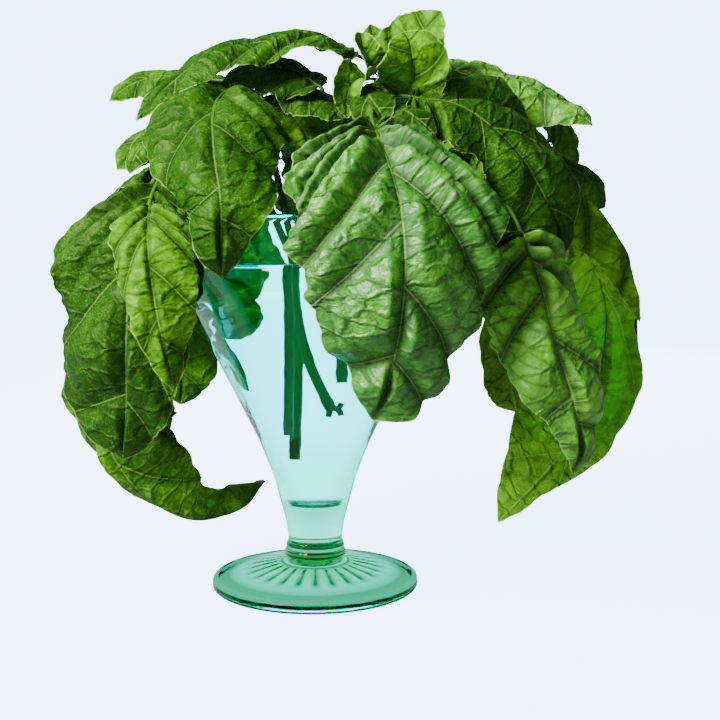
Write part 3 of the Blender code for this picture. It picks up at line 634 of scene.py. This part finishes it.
def leaf_pattern():
    """Node group: where a blade's veins run, how it is mottled and where shade is painted in the valleys
    along veins and creases, from the places in its mesh.
    """
    tree = bpy.data.node_groups.new("basil blade pattern and painted shade", "ShaderNodeTree")
    for name in ("Vein", "Cross Vein", "Speck", "Hollow Shade", "Mottle", "Edge", "Base", "Tone", "Height"):
        tree.interface.new_socket(name, in_out="OUTPUT", socket_type="NodeSocketFloat")

    times, minus, plus, most = sums(tree)

    def fall(value, near, far):
        """1 up to near, 0 from far on."""
        return node(tree, "MapRange", {"Value": value, "From Min": near, "From Max": far, "To Min": 1.0,
                                       "To Max": 0.0}, interpolation_type="SMOOTHSTEP").outputs[0]

    def from_whole(count):
        """How far a count is from the nearest whole number."""
        part = node(tree, "Math", {0: count}, operation="FRACT").outputs[0]
        return minus(0.5, maths(tree, "ABSOLUTE", minus(part, 0.5)))

    lines, veins = mark(tree, "lines"), mark(tree, "veins")
    flat_place = node(tree, "Attribute", attribute_name="flat").outputs["Vector"]
    flat = node(tree, "SeparateXYZ", {0: flat_place}).outputs
    plane = node(tree, "CombineXYZ", {0: flat[0], 1: flat[1]}).outputs[0]
    from_vein = times(from_whole(lines[0]), lines[1])
    from_midrib = maths(tree, "ABSOLUTE", times(flat[1], 1000.0))
    thickness = minus(0.45, times(veins[2], 0.25))
    side_vein = fall(maths(tree, "DIVIDE", from_vein, thickness), 0.3, 1.0)
    midrib = fall(maths(tree, "DIVIDE", from_midrib, minus(0.8, times(veins[0], 0.5))), 0.4, 1.0)
    vein = most(side_vein, midrib)
    from_cross = from_whole(veins[1])
    cross = times(fall(from_cross, 0.015, 0.07), fall(minus(1.0, veins[2]), 0.9, 1.0))
    sway = node(tree, "TexNoise", {"Vector": flat_place, "Scale": 150.0, "Detail": 2.0}).outputs["Color"]
    sway = node(tree, "VectorMath", {0: sway, 1: (0.005, 0.005, 0.0)}, operation="MULTIPLY").outputs[0]
    woven = node(tree, "VectorMath", {0: plane, 1: sway}, operation="ADD").outputs[0]

    def puckers(along, across):
        """Distance from the creases that part the small puckers, given their number a metre each way."""
        place = node(tree, "Mapping", {"Vector": woven, "Scale": (along, across, 1.0)}).outputs[0]
        return node(tree, "TexVoronoi", {"Vector": place, "Scale": 1.0, "Randomness": 1.0},
                    feature="DISTANCE_TO_EDGE", voronoi_dimensions="2D").outputs["Distance"]

    large, small = puckers(150.0, 80.0), puckers(420.0, 300.0)
    cell_line = most(fall(large, 0.0, 0.07), times(fall(small, 0.0, 0.10), 0.25))
    broad, grain = noise(tree, flat_place, 55.0, 3.0), noise(tree, flat_place, 700.0)
    middling = noise(tree, flat_place, 210.0, 4.0)
    mottle = plus(times(broad, 0.4), times(grain, 0.25))
    mottle = plus(mottle, times(middling, 0.35))
    height = minus(times(grain, 0.4), times(fall(large, 0.0, 0.16), 0.9))
    height = minus(height, times(fall(small, 0.0, 0.3), 0.18))
    height = plus(height, times(middling, 0.8))
    specks = node(tree, "TexVoronoi", {"Vector": plane, "Scale": 850.0}, voronoi_dimensions="2D")
    speck = times(fall(specks.outputs["Distance"], 0.05, 0.25), fall(mottle, 0.60, 0.42))
    # Painted shade: darker colour in the valleys along the side veins, the cross veins and the midrib, and
    # in the creases between puckers.
    hollow_shade = most(fall(from_vein, 0.2, 3.4), times(fall(from_cross, 0.02, 0.16), 0.6))
    hollow_shade = most(hollow_shade, times(fall(from_midrib, 0.3, 2.6), 0.8))
    hollow_shade = most(hollow_shade, times(cell_line, 0.65))
    near_base, near_midrib = fall(veins[0], 0.0, 0.75), fall(from_midrib, 0.0, 16.0)
    out = tree.nodes.new("NodeGroupOutput")
    results = {"Vein": vein, "Cross Vein": cross, "Speck": speck, "Hollow Shade": hollow_shade, "Mottle": mottle,
               "Edge": fall(lines[2], 0.12, 0.5), "Base": times(near_midrib, near_base),
               "Tone": flat[2], "Height": height}
    for name, socket in results.items():
        tree.links.new(socket, out.inputs[name])
    return tree


pattern = leaf_pattern()


def blade_material(name, colours, hollow_shade_colour, hollow_shade_depth, vein_strength, finish, sheen, glow, bump):
    """One side of a blade. Colours run from an old dark leaf to a young yellow-green one; shade is painted
    as darker colour in the valleys along the veins and creases.
    """
    material, tree = new_material(name)
    group = tree.nodes.new("ShaderNodeGroup")
    group.node_tree = pattern
    marks = group.outputs
    times, minus, plus, most = sums(tree)
    tone = plus(marks["Tone"], times(marks["Base"], 0.5))
    tone = plus(tone, times(minus(marks["Mottle"], 0.5), 3.0))
    ramp = node(tree, "ValToRGB", {"Fac": tone})
    stops = ramp.color_ramp.elements
    stops[0].position, stops[1].position = 0.0, 1.0
    stops.new(0.5)
    for stop, colour in zip(stops, colours):
        stop.color = (*colour, 1)
    # Painted shade: the colour darkens in the valleys along the veins and creases.
    colour = blend(tree, times(marks["Hollow Shade"], hollow_shade_depth), ramp.outputs["Color"], (*hollow_shade_colour, 1))
    lines = most(marks["Vein"], times(marks["Cross Vein"], 0.25))
    colour = blend(tree, times(lines, vein_strength), colour, (*VEIN_COLOUR, 1))
    colour = blend(tree, times(marks["Speck"], 0.3), colour, (*EDGE_COLOUR, 1))
    colour = blend(tree, times(marks["Edge"], 0.7), colour, (*EDGE_COLOUR, 1))
    roughness, gloss = finish
    rough = plus(roughness - 0.08, times(marks["Mottle"], 0.16))
    rough = plus(rough, times(marks["Hollow Shade"], 0.4))
    relief = node(tree, "Bump", {"Height": marks["Height"], "Distance": bump})
    shader = node(tree, "BsdfPrincipled", {
        "Base Color": colour, "Roughness": rough, "Metallic": 0.0, "Specular IOR Level": gloss,
        "Specular Tint": (*sheen, 1), "Normal": relief.outputs["Normal"]})
    through = node(tree, "BsdfTranslucent", {"Color": blend(tree, 0.5, colour, (*GLOW_COLOUR, 1)),
                                             "Normal": relief.outputs["Normal"]})
    mix = node(tree, "MixShader", {0: glow, 1: shader.outputs[0], 2: through.outputs[0]})
    node(tree, "OutputMaterial", {"Surface": mix.outputs[0]})
    return material


EDGE_COLOUR = (0.26, 0.42, 0.07)
GLOW_COLOUR = (0.30, 0.60, 0.0)
VEIN_COLOUR = (0.20, 0.40, 0.06)
SOFT_COLOURS = ((0.004, 0.028, 0.0010), (0.014, 0.075, 0.0015), (0.085, 0.27, 0.002))
WAXY_COLOURS = ((0.008, 0.065, 0.003), (0.026, 0.165, 0.006), (0.10, 0.36, 0.008))
# Painted shade: the darker greens that the valleys of the upper sides and of the underside blend to.
HOLLOW_SHADE_COLOUR = (0.003, 0.024, 0.001)
# The first, darkest underside colour is darker than a real underside: it paints the shade on the leaf
# behind the glass, which shows its underside.
UNDER_COLOURS = ((0.012, 0.05, 0.004), (0.08, 0.22, 0.010), (0.16, 0.36, 0.012))
UNDER_HOLLOW_SHADE = (0.04, 0.13, 0.004)
soft_skin = blade_material("basil blade, soft upper side", SOFT_COLOURS, HOLLOW_SHADE_COLOUR, 0.88, 0.28,
                           finish=(0.48, 0.2), sheen=(0.6, 1.0, 0.15), glow=0.25, bump=0.0005)
waxy_skin = blade_material("basil blade, waxy upper side", WAXY_COLOURS, HOLLOW_SHADE_COLOUR, 0.92, 0.35,
                           finish=(0.42, 0.5), sheen=(0.85, 1.0, 0.7), glow=0.15, bump=0.0006)
under_skin = blade_material("basil blade, underside", UNDER_COLOURS, UNDER_HOLLOW_SHADE, 0.5, 0.6,
                            finish=(0.6, 0.15), sheen=(0.7, 1.0, 0.4), glow=0.32, bump=0.0009)


def small(tone):
    """What the small leaves of the crowns have alike: few veins and shallow waves and puckers."""
    return {"veins": 4, "pucker": 1.6, "wave": 2.4, "tone": tone}


crown_leaves = [
    Leaf("long_arching_leaf", 0.97, ((16, -14, 209), (6, -16, 213), (-5, -17, 215), (-18, -18, 213),
         (-38, -22, 207), (-52, -26, 196), (-65, -30, 182)), (16, 17),
         ((0, -0.2, 0.98), (-0.1, -0.5, 0.85)), fold=(-4, -8), curl=(-15, -22), full=0.3, seed=3, tone=0.3),
    Leaf("broad_front_leaf", 0.80, ((21, -58, 176), (25, -74, 162), (28, -84, 147), (29, -88, 129),
         (28, -86, 112), (25, -78, 93), (20, -68, 77)), (39, 33),
         ((0, -0.75, 0.66), (0, -1, 0.1), (0, -0.97, -0.2)), fold=(-4, -10), curl=(-20, -32),
         full=(0.35, 1.0), wave=2.8, pucker=3.8, seed=5, veins=8, slant=4.0, waxy=True),
    Leaf("dark_right_leaf", 0.88, ((36, -30, 191), (54, -34, 187), (72, -36, 173), (85, -36, 153),
         (92, -32, 131)), (27, 25), ((0.1, -0.75, 0.66), (0.35, -0.8, 0.45), (0.4, -0.85, 0.2)),
         fold=(-4, -6), lip=(120, 0), full=0.8, seed=7, tone=0.2),
    Leaf("glossy_low_leaf", 0.76, ((74, -47, 141), (80, -54, 121), (85, -58, 100), (92, -56, 80),
         (95, -50, 64), (94, -46, 53)), (30, 22), ((0.1, -0.8, 0.6), (0.2, -1, 0.1), (0.1, -1, -0.1)),
         fold=(-6, -12), curl=(-25, -50), full=(-0.5, 0.2), seed=27, tone=0.85, waxy=True, pucker=4.4),
    Leaf("upper_right_leaf", 0.93, ((45, -4, 201), (64, 0, 207), (84, 0, 201), (97, -4, 193),
         (109, -8, 184)), (24, 20), ((0, -0.5, 0.87), (0.3, -0.7, 0.64)), fold=(-10, -15), curl=(-30, -40),
         seed=9, tone=0.85, waxy=True),
    Leaf("back_top_leaf", 0.85, ((28, 4, 200), (30, 26, 199), (27, 46, 193), (20, 64, 179)), (20, 20),
         ((0, 0, 1), (0, 0.5, 0.87)), curl=-25, seed=71),
    Leaf("back_right_top_leaf", 0.90, ((48, 24, 201), (56, 34, 206), (63, 43, 203), (69, 52, 193)),
         (15, 15), ((0, 0, 1), (0.3, 0.6, 0.7)), fold=-8, curl=-30, veins=5, seed=73),
    Leaf("tuft_tall_leaf", 0.98, ((31, -16, 203), (37, -14, 212), (44, -12, 220), (49, -12, 226)), (13, 13),
         ((-0.3, -0.9, 0.2),) * 2, fold=10, curl=10, seed=11, **small(0.95)),
    Leaf("tuft_front_leaf", 0.96, ((34, -25, 192), (36, -30, 197), (36, -34, 205), (33, -33, 214)),
         (12, 13), ((0.1, -1, 0.1), (0.1, -0.95, 0.3)), fold=12, curl=10, full=1.2, seed=13, **small(0.95)),
    Leaf("tuft_bud_leaf", 0.97, ((23, -22, 201), (20, -24, 206), (18, -24, 211), (17, -22, 216)), (7, 7),
         ((0.3, -0.9, 0.2),) * 2, fold=30, curl=30, seed=15, **small(0.95)),
    Leaf("tuft_curled_leaf", 0.94, ((20, -26, 198), (15, -31, 196), (12, -34, 190), (12, -36, 182)), (9, 9),
         ((-0.3, -0.6, 0.8), (0.2, -0.9, 0.2)), fold=20, curl=50, seed=17, **small(0.95)),
    Leaf("tuft_back_leaf", 0.99, ((27, -10, 206), (25, -5, 212), (23, -3, 218), (22, -3, 223)), (8, 8),
         ((0.2, -0.9, 0.3),) * 2, fold=15, curl=15, seed=19, **small(0.95)),
    Leaf("crinkled_leaf", 0.90, ((19, -32, 194), (20, -38, 190), (23, -42, 185), (26, -44, 179)), (9, 9),
         ((0, -0.5, 0.87), (-0.4, -0.9, 0.2)), fold=-5, curl=-30, seed=21, **small(0.35)),
    Leaf("grey_green_leaf", 0.88, ((29, -38, 186), (33, -43, 184), (38, -46, 180), (43, -47, 175)), (8, 8),
         ((0, -0.5, 0.87), (0.2, -0.9, 0.3)), fold=-10, seed=23, **small(0.35)),
]
add_leafy_stem("crown", crown_leaves)

# ---- the right stem ------------------------------------------------------------------
# It leans out over the rim, and its large leaves hang round its end.

right_leaves = [
    Leaf("outer_right_leaf", 0.88, ((93, 2, 169), (105, -2, 160), (116, -4, 148), (125, -6, 131),
         (131, -4, 107)), (16, 24), ((0.3, -0.4, 0.87), (0.8, -0.35, 0.4), (0.97, -0.2, 0)),
         fold=(-45, -40), curl=-30, full=0.7, seed=25, tone=0.85),
    Leaf("sweeping_right_leaf", 0.93, ((108, 36, 146), (120, 32, 131), (124, 24, 111), (121, 16, 91),
         (115, 8, 72), (101, 0, 54), (87, -6, 40), (73, -10, 27)), (17, 29),
         ((0.5, 0.6, 0.6), (0.5, 0.85, -0.1), (0.3, 0.6, -0.7)), fold=(-10, -15), full=0.9, seed=29,
         tone=0.6),
    Leaf("inner_right_leaf", 0.97, ((91, -14, 131), (81, -18, 115), (74, -20, 97), (79, -16, 72)), (18, 17),
         ((-0.3, 0.9, 0.3), (-0.3, 0.9, 0.1)), fold=-8, full=1, seed=31, tone=0.7),
    Leaf("right_shoot_leaf_1", 0.78, ((94, 22, 197), (104, 28, 190), (110, 32, 182), (113, 34, 170)),
         (15, 13), ((0.3, -0.5, 0.8), (0.6, -0.7, 0.3)), fold=-10, curl=-30, veins=4, seed=33, tone=0.75),
    Leaf("right_shoot_leaf_2", 0.82, ((94, 10, 173), (104, 12, 170), (113, 12, 164), (120, 13, 153)),
         (13, 13), ((0.2, -0.7, 0.7), (0.5, -0.8, 0.3)), fold=-10, curl=-40, full=1.3, veins=4, seed=35),
    Leaf("back_right_leaf", 0.60, ((50, 28, 188), (62, 50, 180), (72, 66, 152), (74, 70, 104)), (25, 25),
         ((0.3, 0.4, 0.87), (0.6, 0.78, 0.15), (0.6, 0.8, 0)), fold=-8, curl=-35, full=0.8, seed=65,
         tone=0.45),
    Leaf("back_low_right_leaf", 0.80, ((92, 36, 168), (104, 54, 152), (110, 64, 122), (106, 62, 88)),
         (20, 22), ((0.4, 0.6, 0.7), (0.8, 0.6, 0.1), (0.8, 0.6, -0.1)), fold=-10, curl=-30, seed=67),
]
add_leafy_stem("right", right_leaves)

# ---- the left stem -------------------------------------------------------------------
# It bends low over the rim; its end leaves hang down beside the vase.

left_leaves = [
    Leaf("large_left_leaf", 0.99, ((-57, -34, 158), (-62, -48, 142), (-64, -56, 121), (-65, -58, 102),
         (-66, -54, 82), (-69, -46, 60)), (36, 22), ((0, -0.7, 0.7), (-0.2, -1, 0.1), (0, -0.97, -0.2)),
         fold=(-14, 6), curl=(-35, 0), full=1.2, veins=7, seed=37, tone=0.12),
    Leaf("light_left_leaf", 0.97, ((-58, -46, 150), (-56, -66, 136), (-53, -75, 120), (-50, -76, 104),
         (-47, -71, 87)), (12, 16), ((0.1, -0.8, 0.6), (0.2, -1, 0.05), (0.2, -1, 0)), fold=(-6, -2),
         curl=(-30, -14), full=0.5, seed=39, tone=0.8),
    Leaf("curled_under_leaf", 0.90, ((-75, -20, 105), (-81, -20, 82), (-80, -18, 62), (-68, -14, 41),
         (-49, -10, 29), (-30, -8, 33), (-19.5, -6, 44)), (28, 26),
         ((-0.3, -0.95, 0.1), (-0.3, -0.9, -0.4), (0, -0.5, -0.87)), fold=((-10, -80), (-10, -5)), curl=-25,
         full=1, seed=41, tone=0.6),
    Leaf("behind_left_leaf", 0.86, ((-68, 38, 130), (-64, 41, 110), (-58, 41, 89), (-58, 36, 69)), (18, 20),
         ((0.2, -0.9, 0.3), (0.2, -0.9, 0.1)), fold=-8, curl=-30, full=1, seed=43, tone=0.55),
    Leaf("back_low_left_leaf", 0.84, ((-52, -4, 170), (-74, 16, 158), (-88, 28, 126), (-88, 32, 88)),
         (24, 24), ((-0.5, 0.3, 0.8), (-0.85, 0.5, 0.15), (-0.85, 0.5, -0.1)), fold=-10, curl=-30, full=0.7,
         seed=69),
    Leaf("jagged_left_leaf", 0.90, ((-52, -12, 180), (-59, -14, 178), (-66, -16, 174), (-74, -18, 165)),
         (11, 12), ((-0.2, -0.7, 0.7), (-0.5, -0.8, 0.2)), fold=-5, seed=55, **small(0.55)),
    Leaf("left_shoot_leaf", 0.93, ((-54, -22, 176), (-60, -24, 175), (-65, -26, 171), (-68, -27, 163)),
         (7, 8), ((-0.2, -0.7, 0.7), (-0.5, -0.8, 0.2)), fold=-5, seed=57, **small(0.55)),
]
add_leafy_stem("left", left_leaves)

# ---- the middle stem -----------------------------------------------------------------
# It ends in the left crown, with the puckered leaf in front. Its cut end in the water
# still has the stubs of three shoots that were picked off.

middle_leaves = [
    Leaf("puckered_front_leaf", 0.93, ((-31, -24, 195), (-35, -46, 185), (-34, -62, 169), (-31, -71, 151),
         (-31, -69, 135), (-31, -64, 124)), (28, 28), ((0, -0.6, 0.8), (0, -1, 0.1), (0, -0.95, -0.2)),
         fold=(-10, -8), curl=((-35, -70), (-45, -30)), full=(0.2, 0.25), seed=45, tone=0.3),
    Leaf("top_dark_leaf_1", 0.97, ((2, -22, 196), (-7, -18, 202), (-18, -14, 204), (-28, -12, 202),
         (-35, -12, 198)), (12, 13), ((0, -0.5, 0.87), (-0.2, -0.7, 0.6)), fold=(-5, -10), curl=-30,
         seed=47, **small(0.2)),
    Leaf("top_dark_leaf_2", 0.98, ((-11, -14, 195), (-3, -18, 194), (5, -22, 189), (11, -24, 183)),
         (12, 14), ((0, -0.5, 0.87), (0.3, -0.7, 0.6)), fold=(-5, -10), curl=-30, seed=48, **small(0.2)),
    # Its tone of 1.2, past the youngest leaves' 1, paints the light that falls on it as a lighter
    # yellow-green.
    Leaf("sunlit_leaf", 0.95, ((-18, -8, 193), (-11, -10, 189), (-4, -14, 181), (-1, -20, 169)), (18, 18),
         ((0.2, -0.8, 0.5), (0.2, -0.9, 0.2)), fold=-5, seed=49, **small(1.2)),
    Leaf("under_arch_leaf", 0.92, ((-37, -16, 188), (-44, -18, 189), (-51, -20, 187), (-58, -22, 181)),
         (16, 15), ((0, -0.6, 0.8), (-0.3, -0.8, 0.4)), fold=(-5, -10), curl=(-20, -30), seed=51,
         **small(0.55)),
    Leaf("far_left_leaf", 0.97, ((-50, 6, 203), (-61, 8, 204), (-72, 8, 201), (-81, 6, 194)), (9, 9),
         ((0, -0.6, 0.8), (-0.2, -0.8, 0.5)), fold=-5, seed=53, **small(0.55)),
    # Its low tone paints shade: it shows its underside behind the glass, and the darkest underside colour
    # stands for the shade it lies in.
    Leaf("back_left_leaf", 0.88, ((-24, 18, 190), (-37, 46, 182), (-45, 60, 162), (-43, 63, 144),
         (-36, 60, 131), (-26, 56, 118), (-20, 53, 106)), (19, 17),
         ((-0.3, 0.4, 0.87), (-0.2, 0.95, 0.15), (-0.1, 0.95, -0.3)), fold=(0, -10), curl=(0, -20),
         full=(2.0, 1.2), seed=61, tone=0.1),
    Leaf("back_middle_leaf", 0.95, ((4, 20, 192), (10, 50, 184), (14, 76, 156), (15, 84, 110)), (28, 28),
         ((0, 0.5, 0.87), (0, 0.95, 0.3), (0, 1, 0)), fold=-8, curl=-35, full=0.8, seed=63, tone=0.45),
    Leaf("back_left_top_leaf", 0.97, ((-30, 8, 200), (-40, 19, 204), (-51, 29, 200), (-61, 36, 187)),
         (17, 17), ((0, 0.2, 1), (-0.5, 0.5, 0.7)), fold=-8, curl=-30, veins=5, seed=75),
]
STUBS = (((4.6, 2, 78), (6.0, 1.8, 77.0), (7.2, 1.6, 77.4), (8.0, 1.6, 79.2)),
         ((4.8, 2, 78), (6.2, 1.8, 76.8), (7.4, 1.6, 75.6), (7.8, 1.6, 73.8)),
         ((4.4, 2, 78), (4.4, 1.6, 76), (4.0, 1.4, 73.2)))
add_leafy_stem("middle", middle_leaves, STUBS)

# ---- the place it stands on ----------------------------------------------------------
# A pale matte sweep of studio paper that curves up all round, soft light from above and
# a bright, even surround. The lengths of this section are in metres.

FLOOR_LEVEL = -0.0003
SWEEP_RADIUS = 1.6
SWEEP_BEND = 0.8
SWEEP_HEIGHT = 1.3
PAPER_GLOW = (3.9, 5.5, 9.4, 1)
LIT_POINT = Vector((0, 0, 0.12))


def seen_directly(tree):
    """1 for what the camera sees, also through glass and water, 0 for light that falls on the leaves."""
    path = node(tree, "LightPath").outputs
    clear = maths(tree, "SUBTRACT", path["Is Transmission Ray"], path["Is Diffuse Ray"])
    direct = maths(tree, "MAXIMUM", path["Is Camera Ray"], clear)
    return maths(tree, "MULTIPLY", direct, maths(tree, "LESS_THAN", path["Diffuse Depth"], 0.5))


def paper_material():
    material, tree = new_material("pale studio paper")
    place = node(tree, "TexCoord").outputs["Object"]
    ramp = node(tree, "ValToRGB", {"Fac": noise(tree, place, 8.0, 4.0)})
    ramp.color_ramp.elements[0].color = (0.22, 0.23, 0.25, 1)
    ramp.color_ramp.elements[1].color = (0.24, 0.25, 0.27, 1)
    shader = node(tree, "BsdfDiffuse", {"Color": ramp.outputs["Color"]})
    glow = node(tree, "Emission", {"Color": PAPER_GLOW, "Strength": seen_directly(tree)})
    both = node(tree, "AddShader", {0: shader.outputs[0], 1: glow.outputs[0]})
    node(tree, "OutputMaterial", {"Surface": both.outputs[0]})
    return material


def add_sweep():
    """A round sheet turned like the vase, but open above."""
    profile = [(0.0, FLOOR_LEVEL), (SWEEP_RADIUS, FLOOR_LEVEL)]
    for angle in np.linspace(0.0, math.pi / 2, 13)[1:]:
        profile.append((SWEEP_RADIUS + SWEEP_BEND * math.sin(angle),
                        FLOOR_LEVEL + SWEEP_BEND * (1 - math.cos(angle))))
    profile.append((SWEEP_RADIUS + SWEEP_BEND, FLOOR_LEVEL + SWEEP_HEIGHT))
    points, faces = turned(profile + [(0.0, SWEEP_HEIGHT)], 96)
    lid = len(points) - 1
    mesh = bpy.data.meshes.new("paper_sweep")
    mesh.from_pydata(points[:lid].tolist(), [], [face[::-1] for face in faces if lid not in face])
    mesh.shade_smooth()
    mesh.materials.append(paper_material())
    put_in_scene("paper_sweep", mesh)


def add_softbox(name, place, size, power, shine):
    """A square lamp turned to the middle of the object. Only gloss may show the lamp itself."""
    lamp = bpy.data.lights.new(name, "AREA")
    lamp.shape = "RECTANGLE"
    lamp.size = lamp.size_y = size
    lamp.energy = power
    item = put_in_scene(name, lamp)
    item.location = place
    item.rotation_euler = (LIT_POINT - Vector(place)).to_track_quat("-Z", "Y").to_euler()
    item.visible_camera = False
    item.visible_transmission = False
    item.visible_glossy = shine


add_sweep()
add_softbox("front_softbox", (-0.78, -0.58, 0.78), 0.6, 88.0, shine=True)
add_softbox("back_softbox", (0.35, 1.1, 0.7), 0.9, 45.0, shine=False)

# The surround is bright where it is seen and dimmer where it only lights the leaves.
SURROUND_SEEN = (4.8, 6.6, 10.7, 1)
SURROUND_LIGHT = (0.27, 0.29, 0.27, 1)
world = bpy.data.worlds.new("bright surround")
bpy.context.scene.world = world
world.use_nodes = True
sky = world.node_tree
sky.nodes.clear()
direct = node(sky, "Background", {"Color": SURROUND_SEEN, "Strength": 1.0})
soft = node(sky, "Background", {"Color": SURROUND_LIGHT, "Strength": 1.0})
surround = node(sky, "MixShader", {0: seen_directly(sky), 1: soft.outputs[0], 2: direct.outputs[0]})
node(sky, "OutputWorld", {"Surface": surround.outputs[0]})

# The camera looks slightly down at the vase from the front, level with the water.
CAMERA_PLACE = (0.0, -0.440, WATER_LEVEL * MM)
CAMERA_YAW = math.radians(2.37)
CAMERA_PITCH = math.radians(-4.94)
lens = bpy.data.cameras.new("camera")
lens.lens = 55.0
lens.sensor_width = 36.0
lens.clip_start = 0.01
camera = put_in_scene("camera", lens)
camera.location = CAMERA_PLACE
look = Vector((math.cos(CAMERA_PITCH) * math.sin(CAMERA_YAW),
               math.cos(CAMERA_PITCH) * math.cos(CAMERA_YAW), math.sin(CAMERA_PITCH)))
camera.rotation_euler = look.to_track_quat("-Z", "Y").to_euler()
bpy.context.scene.camera = camera
